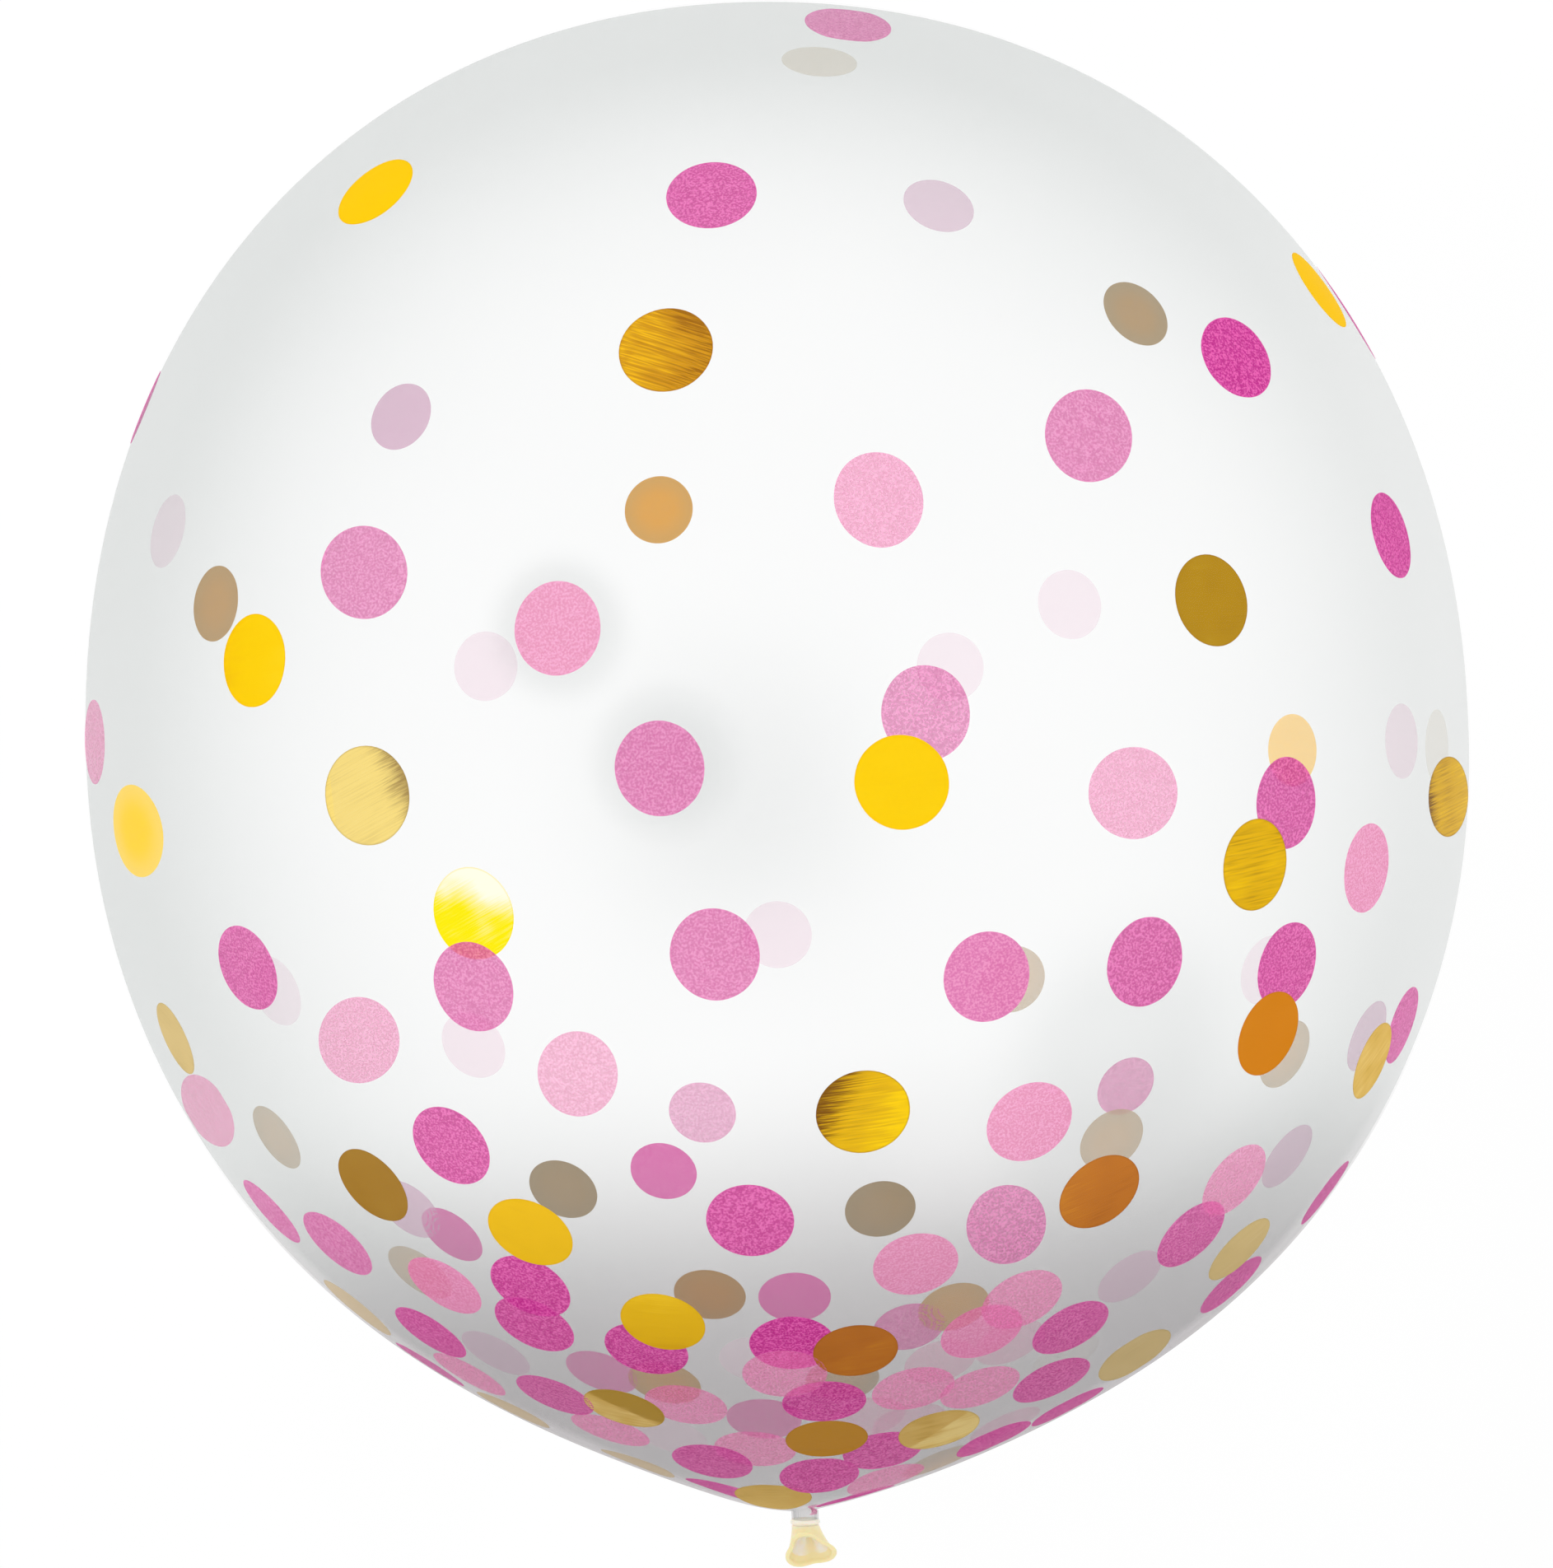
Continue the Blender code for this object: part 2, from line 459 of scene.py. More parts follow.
@dataclass(frozen=True)
class FoilFinish:
    """Thin foil on card, brushed one way, with painted shade, painted highlights and a painted crease
    reflection from a per-point attribute.
    """

    colour: Colour
    deep_colour: Colour
    pale_colour: Colour
    scratches: float = 0.45
    bands: float = 0.15
    slot: str = "foil_gold"
    full_tone: float = 1.2
    line_share: float = 0.45
    metallic: float = 0.5
    roughness: float = 0.36
    roughness_swing: float = 0.06

    def build(self, name: str, kit: GroupKit) -> bpy.types.Material:
        """Makes the foil's material.

        Args:
            name: The material's name.
            kit: The shared groups.

        Returns:
            The material.
        """
        material, sketch, shader = started_material(name)
        brushing = kit.place(sketch, "brushed_foil", Vector=sketch.shifted_place())
        line = kit.place(sketch, "cut_edge")["Line"]
        streaks = sketch.total(sketch.times(brushing["Scratches"], self.scratches),
                               sketch.times(brushing["Bands"], self.bands))
        # the attribute holds the disc's own tone and its painted shade, painted highlight and painted
        # crease reflection
        tone = sketch.total(sketch.read("bend"), streaks)
        toned = sketch.blend(sketch.ease(tone, 0.0, -self.full_tone), self.colour, self.deep_colour)
        toned = sketch.blend(sketch.ease(tone, 0.0, self.full_tone), toned, self.pale_colour)
        rim = sketch.blend(sketch.times(line, self.line_share), toned, self.deep_colour)
        gloss = sketch.ease(brushing["Bands"], -1.0, 1.0, self.roughness - self.roughness_swing,
                            self.roughness + self.roughness_swing)
        sketch.fill(shader, Base_Color=rim, Metallic=self.metallic, Specular_IOR_Level=0.0,
                    Specular_Tint=self.pale_colour, Roughness=gloss,
                    Normal=sketch.relief(brushing["Scratches"], 0.15, 0.00005))
        return material


FINISHES: dict[Paper, TissueFinish | FoilFinish] = {
    Paper.MAGENTA: TissueFinish((0.545, 0.022, 0.265), (0.845, 0.104, 0.455), 0.9, mottle=1.0,
                                slot="tissue_magenta"),
    Paper.ORCHID: TissueFinish((0.61, 0.035, 0.3), (0.85, 0.142, 0.48), 0.75, mottle=1.0,
                               slot="tissue_orchid"),
    Paper.PINK: TissueFinish((0.78, 0.125, 0.37), (0.96, 0.23, 0.545), 0.63, mottle=1.0,
                             slot="tissue_pink"),
    Paper.ORCHID_PLY: TissueFinish((0.64, 0.08, 0.35), (0.74, 0.15, 0.43), 0.96, mottle=0.6,
                                   slot="tissue_orchid"),
    Paper.ORCHID_CARD: TissueFinish((0.7, 0.17, 0.41), (0.86, 0.29, 0.55), 0.96, mottle=1.0,
                                    slot="tissue_orchid"),
    Paper.LILAC: TissueFinish((0.68, 0.4, 0.56), (0.72, 0.46, 0.6), 0.66, slot="tissue_orchid"),
    Paper.BLUSH: TissueFinish((0.86, 0.6, 0.73), (0.9, 0.66, 0.77), 0.38, slot="tissue_pink"),
    # the foils from LEMON to SMOKE: one gold foil in painted light, brighter where lit and darker
    # where shaded
    Paper.LEMON: FoilFinish((0.99, 0.63, 0.003), (0.86, 0.46, 0.004), (1.0, 0.72, 0.02), 0.25, 0.1),
    Paper.GOLD: FoilFinish((0.9, 0.54, 0.016), (0.72, 0.38, 0.014), (1.0, 0.66, 0.03), 0.35, 0.15),
    Paper.OCHRE: FoilFinish((0.78, 0.45, 0.01), (0.22, 0.09, 0.01), (1.0, 0.66, 0.006)),
    Paper.AMBER: FoilFinish((0.66, 0.31, 0.014), (0.36, 0.14, 0.01), (0.96, 0.56, 0.014), 0.6, 0.3),
    Paper.TANGERINE: FoilFinish((0.67, 0.23, 0.014), (0.52, 0.15, 0.012),
                                (0.78, 0.32, 0.03), 0.12, 0.15),
    Paper.COPPER: FoilFinish((0.56, 0.19, 0.03), (0.34, 0.1, 0.02),
                             (0.78, 0.33, 0.035), 0.25, 0.15),
    Paper.BRONZE: FoilFinish((0.6, 0.3, 0.036), (0.42, 0.19, 0.028), (0.74, 0.42, 0.05), 0.15, 0.1),
    Paper.OLIVE: FoilFinish((0.47, 0.26, 0.016), (0.32, 0.16, 0.012),
                            (0.62, 0.4, 0.03), 0.12, 0.25),
    Paper.MOSS: FoilFinish((0.4, 0.215, 0.04), (0.3, 0.15, 0.03), (0.52, 0.32, 0.06), 0.12, 0.25),
    Paper.CHAMPAGNE: FoilFinish((0.95, 0.72, 0.2), (0.38, 0.24, 0.06),
                                (1.0, 0.84, 0.36), 0.22, 0.1),
    Paper.PALE: FoilFinish((0.74, 0.5, 0.15), (0.5, 0.31, 0.06), (0.95, 0.76, 0.32), 0.3, 0.3),
    Paper.ASH: FoilFinish((0.72, 0.56, 0.27), (0.52, 0.4, 0.19), (0.88, 0.74, 0.44), 0.2, 0.2),
    Paper.SMOKE: FoilFinish((0.755, 0.635, 0.45), (0.58, 0.48, 0.32),
                            (0.88, 0.76, 0.58), 0.15, 0.2),
    Paper.CITRON: FoilFinish((0.98, 0.84, 0.004), (0.97, 0.74, 0.001),
                             (1.0, 0.98, 0.8), 0.15, 0.15),
    Paper.HONEY: TissueFinish((0.98, 0.62, 0.015), (1.0, 0.68, 0.035), 0.96, 0.5,
                              (0.96, 0.72, 0.22), mottle=0.3),
    # foil backs: paper colour with painted shade of different depths
    Paper.FAWN: TissueFinish((0.7, 0.31, 0.022), (0.74, 0.36, 0.036), 0.97, 0.45, (0.5, 0.32, 0.1)),
    Paper.TAN: TissueFinish((0.42, 0.245, 0.082), (0.46, 0.28, 0.11), 0.95, 0.5,
                            (0.33, 0.27, 0.16)),
    Paper.BUFF: TissueFinish((0.53, 0.27, 0.055), (0.57, 0.3, 0.07), 0.95, 0.4, (0.4, 0.27, 0.1)),
    Paper.UMBER: TissueFinish((0.4, 0.17, 0.017), (0.44, 0.2, 0.022), 0.96, 0.4, (0.34, 0.2, 0.06)),
    Paper.TAUPE: TissueFinish((0.29, 0.18, 0.075), (0.32, 0.21, 0.09), 0.95, 0.4,
                              (0.25, 0.18, 0.09)),
    Paper.SAND: TissueFinish((0.53, 0.34, 0.17), (0.59, 0.4, 0.21), 0.66, 0.4, (0.42, 0.34, 0.22)),
    Paper.CREAM: TissueFinish((1.0, 0.6, 0.13), (1.0, 0.68, 0.2), 0.78),
    Paper.IVORY: TissueFinish((0.72, 0.62, 0.48), (0.8, 0.71, 0.58), 0.42),
}


@dataclass(frozen=True)
class PaintedShadow:
    """A soft round patch of painted shadow in the powder, denser and darker than the rest, or a
    painted lighter and thinner patch if negative.
    """

    middle: Place
    even_reach: float
    full_reach: float
    cover: float


@dataclass(frozen=True)
class LatexFinish:
    """Natural latex in its three looks: the clear skin, the milky powder inside, the cream tail."""

    gloss_roughness: float = 0.14
    gloss_facing: float = 0.004
    gloss_edge_on: float = 0.05
    gloss_power: float = 5.0
    gloss_colour: Colour = (0.86, 0.87, 0.87)
    neck_tint_and_shade: Colour = (0.74, 0.725, 0.73)
    bloom_colour: Colour = (0.54, 0.59, 0.575)
    rim_shade_colour: Colour = (0.25, 0.30, 0.28)
    # the colour of the painted shadow patches
    shadow_colour: Colour = (0.25, 0.29, 0.28)
    thick_and_shaded_colour: Colour = (0.34, 0.345, 0.345)
    bloom_cover: float = 0.046
    rim_cover: float = 0.140
    rim_start: float = 0.08
    rim_end: float = 0.66
    shadow_full_cover: float = 0.12
    crown_cover: float = 0.01
    neck_cover: float = 0.04
    shade_drift: float = 0.07
    cloud: float = 0.15
    settle_start: float = 0.288
    settle_end: float = 0.318
    gathered_low: float = 0.95
    thinned_high: float = 0.9
    # painted soft shadows round some discs, and painted lighter patches where the cover is negative
    painted_shadows: tuple[PaintedShadow, ...] = (
        PaintedShadow((-0.0428, 0.0117, 0.604), 0.012, 0.036, 0.14),
        PaintedShadow((-0.083, 0.064, 0.591), 0.012, 0.036, 0.18),
        PaintedShadow((-0.0167, 0.0006, 0.607), 0.0, 0.100, 0.12),
        PaintedShadow((0.133, -0.105, 0.551), 0.020, 0.075, 0.12),
        PaintedShadow((0.080, -0.191, 0.087), 0.010, 0.050, -0.06),
        PaintedShadow((0.36, 0.08, 0.30), 0.08, 0.36, -0.055),
    )
    cream: Colour = (0.90, 0.80, 0.46)
    cream_deep: Colour = (0.90, 0.77, 0.41)
    cream_pale: Colour = (0.90, 0.87, 0.80)

    def skin(self, kit: GroupKit) -> bpy.types.Material:
        """The clear outer skin, which shows by its gloss and by a grey tint towards the neck, partly
        thicker latex and partly painted shade.

        Args:
            kit: The shared groups.

        Returns:
            The material.
        """
        material, sketch, shader = started_material("clear_latex")
        stretch = kit.place(sketch, "latex_stretch", Vector=sketch.own_place(), Drift=self.shade_drift)
        thick = sketch.maths("MAXIMUM", stretch["Crown"], stretch["Neck"])
        rough = sketch.ease(thick, 0.0, 1.0, self.gloss_roughness, 2 * self.gloss_roughness)
        sketch.fill(shader, Base_Color=self.gloss_colour, Metallic=1.0, Roughness=rough)
        steep = sketch.maths("POWER", sketch.edge_on(), self.gloss_power)
        glint = sketch.add("ShaderNodeMapRange", Value=steep, To_Min=self.gloss_facing,
                           To_Max=self.gloss_edge_on)
        # painted shade: the clear skin is tinted grey towards the neck, partly for thicker latex
        tint = sketch.blend(stretch["Neck"], (1.0, 1.0, 1.0), self.neck_tint_and_shade)
        clear = sketch.add("ShaderNodeBsdfTransparent", Color=tint)
        mix = sketch.add("ShaderNodeMixShader", Fac=glint.outputs["Result"])
        sketch.feed(mix.inputs[1], clear.outputs[0])
        sketch.feed(mix.inputs[2], shader.outputs[0])
        sketch.fill(material.node_tree.nodes["Material Output"], Surface=mix.outputs[0])
        return material

    def bloom(self, kit: GroupKit) -> bpy.types.Material:
        """The milky powder that lines the latex, thicker to the eye where it is seen edge on, with
        painted shade edge on and towards the neck, and soft painted shadows in patches.

        Args:
            kit: The shared groups.

        Returns:
            The material.
        """
        material, sketch, shader = started_material("powder_bloom")
        where = sketch.own_place()
        stretch = kit.place(sketch, "latex_stretch", Vector=where, Drift=self.shade_drift)
        rim = sketch.ease(sketch.edge_on(), self.rim_start, self.rim_end)
        # painted shadow patches: each one adds denser cover to the powder
        shadow_cover = 0.0
        for shadow_patch in self.painted_shadows:
            apart = sketch.work("ShaderNodeVectorMath", "DISTANCE", where, shadow_patch.middle)
            shadow_cover = sketch.total(shadow_cover, sketch.ease(apart.outputs["Value"], shadow_patch.full_reach,
                                                  shadow_patch.even_reach, 0.0, shadow_patch.cover))
        cover = sketch.total(
            sketch.times(stretch["Clouds"], self.cloud * self.bloom_cover), self.bloom_cover,
            sketch.times(rim, self.rim_cover), sketch.times(stretch["Crown"], self.crown_cover),
            sketch.times(stretch["Neck"], self.neck_cover), shadow_cover)
        height = sketch.add("ShaderNodeSeparateXYZ", Vector=where).outputs["Z"]
        settled = sketch.ease(height, self.settle_start, self.settle_end, self.gathered_low,
                              -self.thinned_high)
        sunk = sketch.total(1.0, sketch.times(stretch["Gather"], settled))
        # painted shade: the powder's colour goes darker where it is seen edge on, beside its real
        # denser cover there
        milky_and_shaded = sketch.blend(rim, self.bloom_colour, self.rim_shade_colour)
        # painted shadow: the patches darken the powder's colour
        milky_and_shaded = sketch.blend(sketch.ease(shadow_cover, 0.0, self.shadow_full_cover), milky_and_shaded, self.shadow_colour)
        # painted shade: the powder is painted darker towards the neck, partly for thicker latex
        sketch.fill(shader, Base_Color=sketch.blend(stretch["Neck"], milky_and_shaded, self.thick_and_shaded_colour),
                    Alpha=sketch.times(cover, sunk), Roughness=0.7, Specular_IOR_Level=0.1)
        return material

    def tail(self, kit: GroupKit) -> bpy.types.Material:
        """The unstretched latex of the knot and the tail, cream and a little cloudy, with painted
        highlight and shade from a per-point attribute.

        Args:
            kit: The shared groups.

        Returns:
            The material.
        """
        material, sketch, shader = started_material("cream_latex")
        where, bend = sketch.own_place(), sketch.read("bend")
        cloudy = sketch.spread(sketch.noise(where, 420.0, 3.0), 0.2, 0.0, 0.35)
        # pale is partly painted light (the knot's highlight, light through the hollows), deep partly
        # painted shade in the throat
        toned = sketch.blend(sketch.ease(bend, 0.0, 1.0), self.cream, self.cream_pale)
        for deep in (sketch.ease(bend, 0.0, -1.0), cloudy):
            toned = sketch.blend(deep, toned, self.cream_deep)
        sketch.fill(shader, Base_Color=toned, Roughness=0.30, Alpha=0.93, Subsurface_Weight=0.35,
                    Subsurface_Scale=0.003,
                    Normal=sketch.relief(sketch.noise(where, 1400.0, 2.0), 0.12, 0.0001))
        return material


@dataclass(frozen=True)
class BalloonForm:
    """The blown-up balloon's outer shape, in the sizes of the part's source.

    It is worked out standing, with the crown up, and then laid on its side.
    """

    crown_end: float
    body_radius: float = 0.305
    crown_height: float = 0.326
    crown_fullness: float = 2.12
    taper_depth: float = 0.3407
    taper_along: float = 2.11
    taper_across: float = 1.63
    tuck: float = 0.37
    tuck_sharpness: float = 10.1
    contact_radius: float = 0.036
    neck_radius: float = 0.0060
    neck_blend: float = 4.0
    neck_length: float = 0.0039
    neck_offset: float = 0.0060
    lean_length: float = 0.006
    sway: float = 0.0135
    tuck_back: float = 0.0040
    tuck_length: float = 0.030

    @property
    def widest_place(self) -> float:
        """Where the widest circle lies along the floor."""
        return self.crown_end - self.crown_height

    @property
    def axis_height(self) -> float:
        """Height of the axis over the floor, with the contact patch pressed flat."""
        return math.sqrt(self.body_radius**2 - self.contact_radius**2)

    @property
    def knot_start(self) -> float:
        """Where the knot begins, standing."""
        return -self.taper_depth - self.neck_length

    def radius(self, height: np.ndarray) -> np.ndarray:
        """Radius of the outer skin at standing heights.

        Args:
            height: Heights over the widest circle.

        Returns:
            The radii, which end at 0 at the crown's pole.
        """
        rise = np.clip(height / self.crown_height, 0.0, 1.0)
        crown = (1 - rise**self.crown_fullness) ** (1 / self.crown_fullness)
        share = np.clip(-height / self.taper_depth, 0.0, 1.0)
        across = (1 - share**self.taper_along) ** (1 / self.taper_across)
        body = across * (1 - self.tuck * share**self.tuck_sharpness)
        taper = ((self.body_radius * body) ** self.neck_blend
                 + self.neck_radius**self.neck_blend) ** (1 / self.neck_blend)
        return np.where(height >= 0, self.body_radius * crown, taper)

    def gap(self, points: np.ndarray) -> np.ndarray:
        """How far standing points lie outside the skin, square to the axis: negative inside."""
        beyond = np.maximum(points[:, 2] - self.crown_height, 0.0)
        return np.hypot(points[:, 0], points[:, 1]) - self.radius(points[:, 2]) + beyond

    def normals(self, points: np.ndarray) -> np.ndarray:
        """Outward directions of the skin at standing points on it.

        Args:
            points: Rows of x, y and z, standing.

        Returns:
            One unit direction for each row.
        """
        step = 1e-5
        slopes = np.stack([self.gap(points + step * axis) - self.gap(points - step * axis)
                           for axis in np.eye(3)], axis=1)
        return slopes / np.linalg.norm(slopes, axis=1, keepdims=True)

    def profile(self, inset: float, crown_steps: int, taper_steps: int) -> Outline:
        """The outline from the crown's pole down to the knot, drawn in from the outer skin.

        Args:
            inset: How far it lies inside the skin.
            crown_steps: Steps from the pole to the widest circle.
            taper_steps: Steps from there to the neck.

        Returns:
            Pairs of radius and height.
        """
        quarter, power = math.pi / 2, 2 / self.crown_fullness
        points = [(0.0, self.crown_height - inset)]
        for step in range(crown_steps - 1, 0, -1):
            angle = quarter * step / crown_steps
            radius = self.body_radius * math.cos(angle) ** power
            height = self.crown_height * math.sin(angle) ** power
            points.append(self.drawn_in(radius, height, inset))
        for step in range(taper_steps):
            height = -self.taper_depth * math.sin(quarter * step / taper_steps)
            radius = float(self.radius(np.array([height]))[0])
            points.append(self.drawn_in(radius, height, inset))
        neck = self.neck_radius - inset
        return [*points, (neck, -self.taper_depth), (neck, self.knot_start)]

    def drawn_in(self, radius: float, height: float, inset: float) -> tuple[float, float]:
        """Moves a point of the outline inwards, square to the skin."""
        normal = self.normals(np.array([[radius, 0.0, height]]))[0]
        return max(radius - inset * normal[0], 0.0), height - inset * normal[2]

    def swayed(self, height: np.ndarray) -> np.ndarray:
        """How far the lopsided body leans aside: the crown one way, the neck the other.

        Args:
            height: Heights over the widest circle, standing.

        Returns:
            The shifts along X.
        """
        past = -height - (self.taper_depth - self.tuck_length)
        share = np.clip(past / self.tuck_length, 0.0, 1.0)
        return -self.sway * height - self.tuck_back * share**2

    def laid(self, points: np.ndarray, floor_gap: float) -> np.ndarray:
        """Lays standing points on their side, with the contact patch pressed flat.

        Args:
            points: Rows of x, y and z, standing.
            floor_gap: How far over the floor the pressed part lies.

        Returns:
            The points in the model's frame.
        """
        past = -points[:, 2] - (self.taper_depth - self.lean_length)
        share = np.clip(past / self.lean_length, 0.0, 1.0)
        aside = points[:, 0] + self.swayed(points[:, 2]) + self.neck_offset * share**4
        height = np.maximum(self.axis_height - points[:, 1], floor_gap)
        return np.stack([aside, points[:, 2] + self.widest_place, height], axis=1)

    def standing(self, points: np.ndarray) -> np.ndarray:
        """Stands up points of the model's frame, the other way round from laid.

        Args:
            points: Rows of x, y and z in the model's frame.

        Returns:
            The points standing.
        """
        height = points[:, 1] - self.widest_place
        aside = points[:, 0] - self.swayed(height)
        return np.stack([aside, self.axis_height - points[:, 2], height], axis=1)


@dataclass(frozen=True)
class Viewpoint:
    """The photograph's camera: straight over the balloon, a little turned."""

    place: Place = (-0.00066, 0.0028, 2.3891)
    turn: float = math.radians(-0.95)
    focal: float = 5697.4
    width: float = 1886.0
    height: float = 1904.0
    sensor: float = 36.0
    round_step: float = 0.006
    most_steps: int = 400
    top_room: float = 0.68
    floor_room: float = 0.02
    sight_steps: int = 1400
    halvings: int = 40

    def ray(self, across: float, down: float) -> tuple[np.ndarray, np.ndarray]:
        """The line of sight through a pixel of the photograph.

        Args:
            across: Pixels from its left side.
            down: Pixels from its top.

        Returns:
            The camera's place and the unit direction.
        """
        right = across - self.width / 2
        up = self.height / 2 - down
        cos, sin = math.cos(self.turn), math.sin(self.turn)
        way = np.array([right * cos - up * sin, right * sin + up * cos, -self.focal])
        return np.array(self.place), way / np.linalg.norm(way)

    def hit(self, form: BalloonForm, across: float, down: float, wall: Wall) -> np.ndarray:
        """Where the line of sight meets a wall of the balloon.

        Past the balloon's edge it takes the nearest line of sight that still meets it, and goes on
        round the skin from there, by one small step for each pixel.

        Args:
            form: The balloon's shape.
            across: Pixels from the photograph's left side.
            down: Pixels from its top.
            wall: The wall that is meant.

        Returns:
            The point, standing.
        """
        middle = np.array([self.width / 2, self.height / 2])
        pixel = np.array([across, down])
        lengths = np.linspace(self.place[2] - self.top_room, self.place[2] + self.floor_room,
                              self.sight_steps)
        for steps in range(self.most_steps):
            start, way = self.ray(*pixel)
            line = form.standing(start + lengths[:, None] * way)
            inside = np.flatnonzero(form.gap(line) < 0)
            if len(inside):
                break
            pixel = pixel + (middle - pixel) / np.linalg.norm(middle - pixel)
        first = inside[0 if wall is Wall.NEAR else -1]
        within, beyond = lengths[first], lengths[first - wall.facing]
        for _ in range(self.halvings):
            half = (within + beyond) / 2
            point = form.standing((start + half * way)[None])
            if form.gap(point)[0] < 0:
                within = half
            else:
                beyond = half
        point = form.standing((start + within * way)[None])[0]
        turn = steps * self.round_step * wall.facing
        cos, sin = math.cos(turn), math.sin(turn)
        reach = math.hypot(point[0], point[2])
        along = (reach * cos - point[1] * sin) / reach
        return np.array([point[0] * along, reach * sin + point[1] * cos, point[2] * along])

    def pixels(self, points: np.ndarray) -> np.ndarray:
        """Where the camera sees points, the other way round from ray.

        Args:
            points: Rows of x, y and z in the model's frame.

        Returns:
            Rows of pixels across and down.
        """
        apart = points - np.array(self.place)
        cos, sin = math.cos(self.turn), math.sin(self.turn)
        right = apart[:, 0] * cos + apart[:, 1] * sin
        up = apart[:, 1] * cos - apart[:, 0] * sin
        size = -self.focal / apart[:, 2]
        return np.stack([self.width / 2 + right * size, self.height / 2 - up * size], axis=1)

    def build(self) -> None:
        """Makes the camera and gives it to the scene."""
        data = bpy.data.cameras.new("photo_camera")
        data.sensor_width = self.sensor
        data.lens = self.focal / self.height * self.sensor
        camera = bpy.data.objects.new("photo_camera", data)
        camera.location = self.place
        camera.rotation_euler = (0.0, 0.0, self.turn)
        bpy.context.scene.collection.objects.link(camera)
        bpy.context.scene.camera = camera


def shown_piece(mesh: bpy.types.Mesh, place: Matrix = Matrix.Identity(4),
                shadow: bool = False) -> bpy.types.Object:
    """Puts a mesh in the scene as a piece that rides on the balloon's body.

    Args:
        mesh: The mesh, which has the piece's name.
        place: The matrix that places it.
        shadow: Whether it casts a shadow and tints the light that bounces off it.

    Returns:
        The piece.
    """
    piece = bpy.data.objects.new(mesh.name, mesh)
    piece.matrix_world = place
    piece.visible_shadow = piece.visible_diffuse = shadow
    bpy.context.scene.collection.objects.link(piece)
    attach(piece, BODY)
    return piece


def turned_mesh(name: str, outline: Outline, sides: int,
                shape: Callable[[np.ndarray], np.ndarray]) -> bpy.types.Mesh:
    """Turns an outline about the axis into a closed mesh.

    Args:
        name: The mesh's name.
        outline: Pairs of radius and height, which begin and end on the axis.
        sides: How many steps go round.
        shape: Takes rows of standing points and gives them in the model's frame.

    Returns:
        The mesh, shaded smooth, with its faces pointing out.
    """
    turns = np.arange(sides) * 2 * math.pi / sides
    rings = [np.stack([radius * np.cos(turns), radius * np.sin(turns), np.full(sides, height)],
                      axis=1) for radius, height in outline[1:-1]]
    ends = np.array([[0.0, 0.0, outline[0][1]], [0.0, 0.0, outline[-1][1]]])
    points = shape(np.concatenate([*rings, ends]))
    first, last = len(rings) * sides, len(rings) * sides + 1
    faces = []
    for step in range(sides):
        after = (step + 1) % sides
        faces.append((first, step, after))
        for ring in range(len(rings) - 1):
            near, far = ring * sides, (ring + 1) * sides
            faces.append((near + step, far + step, far + after, near + after))
        foot = (len(rings) - 1) * sides
        faces.append((foot + step, last, foot + after))
    mesh = bpy.data.meshes.new(name)
    mesh.from_pydata(points.tolist(), [], faces)
    mesh.shade_smooth()
    return mesh


def face_out(mesh: bpy.types.Mesh) -> None:
    """Turns a closed mesh's faces outwards.

    Args:
        mesh: The mesh.
    """
    shell = bmesh.new()
    shell.from_mesh(mesh)
    bmesh.ops.recalc_face_normals(shell, faces=shell.faces)
    shell.to_mesh(mesh)
    shell.free()


@dataclass
class LatexSkin:
    """The balloon's body in one dipped skin, with the powder that lines it."""

    form: BalloonForm
    finish: LatexFinish
    bloom_inset: float = 0.0008
    crown_steps: int = 56
    taper_steps: int = 84
    sides: int = 192
    pleats: int = 22
    pleat_depth: float = 0.03
    pleat_reach: float = 0.022
    wander: float = 1.3
    wander_waves: int = 3

    def pleated(self, points: np.ndarray) -> np.ndarray:
        """Gathers the skin in soft pleats where it runs into the neck.

        Args:
            points: Rows of x, y and z, standing.

        Returns:
            The gathered points.
        """
        above = points[:, 2] + self.form.taper_depth
        share = np.clip(1 - above / self.pleat_reach, 0.0, 1.0) ** 2
        around = np.arctan2(points[:, 1], points[:, 0])
        wave = np.cos(self.pleats * around + self.wander * np.sin(self.wander_waves * around))
        draw = 1 - self.pleat_depth * share * (0.5 + 0.5 * wave)
        return points * np.stack([draw, draw, np.ones(len(points))], axis=1)

    def build_bag(self, name: str, inset: float, material: bpy.types.Material) -> bpy.types.Object:
        """Makes one closed bag, from the crown's pole to the knot.

        Args:
            name: The piece's name.
            inset: How far it lies inside the outer skin.
            material: Its material.

        Returns:
            The piece.
        """
        outline = self.form.profile(inset, self.crown_steps, self.taper_steps)
        mesh = turned_mesh(name, [*outline, (0.0, outline[-1][1])], self.sides,
                           lambda points: self.form.laid(self.pleated(points), inset))
        mesh.materials.append(material)
        return shown_piece(mesh)

    def build(self, kit: GroupKit) -> list[bpy.types.Object]:
        """Makes the skin and its lining.

        Args:
            kit: The shared groups.

        Returns:
            The two pieces.
        """
        skin = self.build_bag("latex_skin", 0.0, self.finish.skin(kit))
        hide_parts(NODE)
        return [skin, self.build_bag("powder_bloom", self.bloom_inset, self.finish.bloom(kit))]


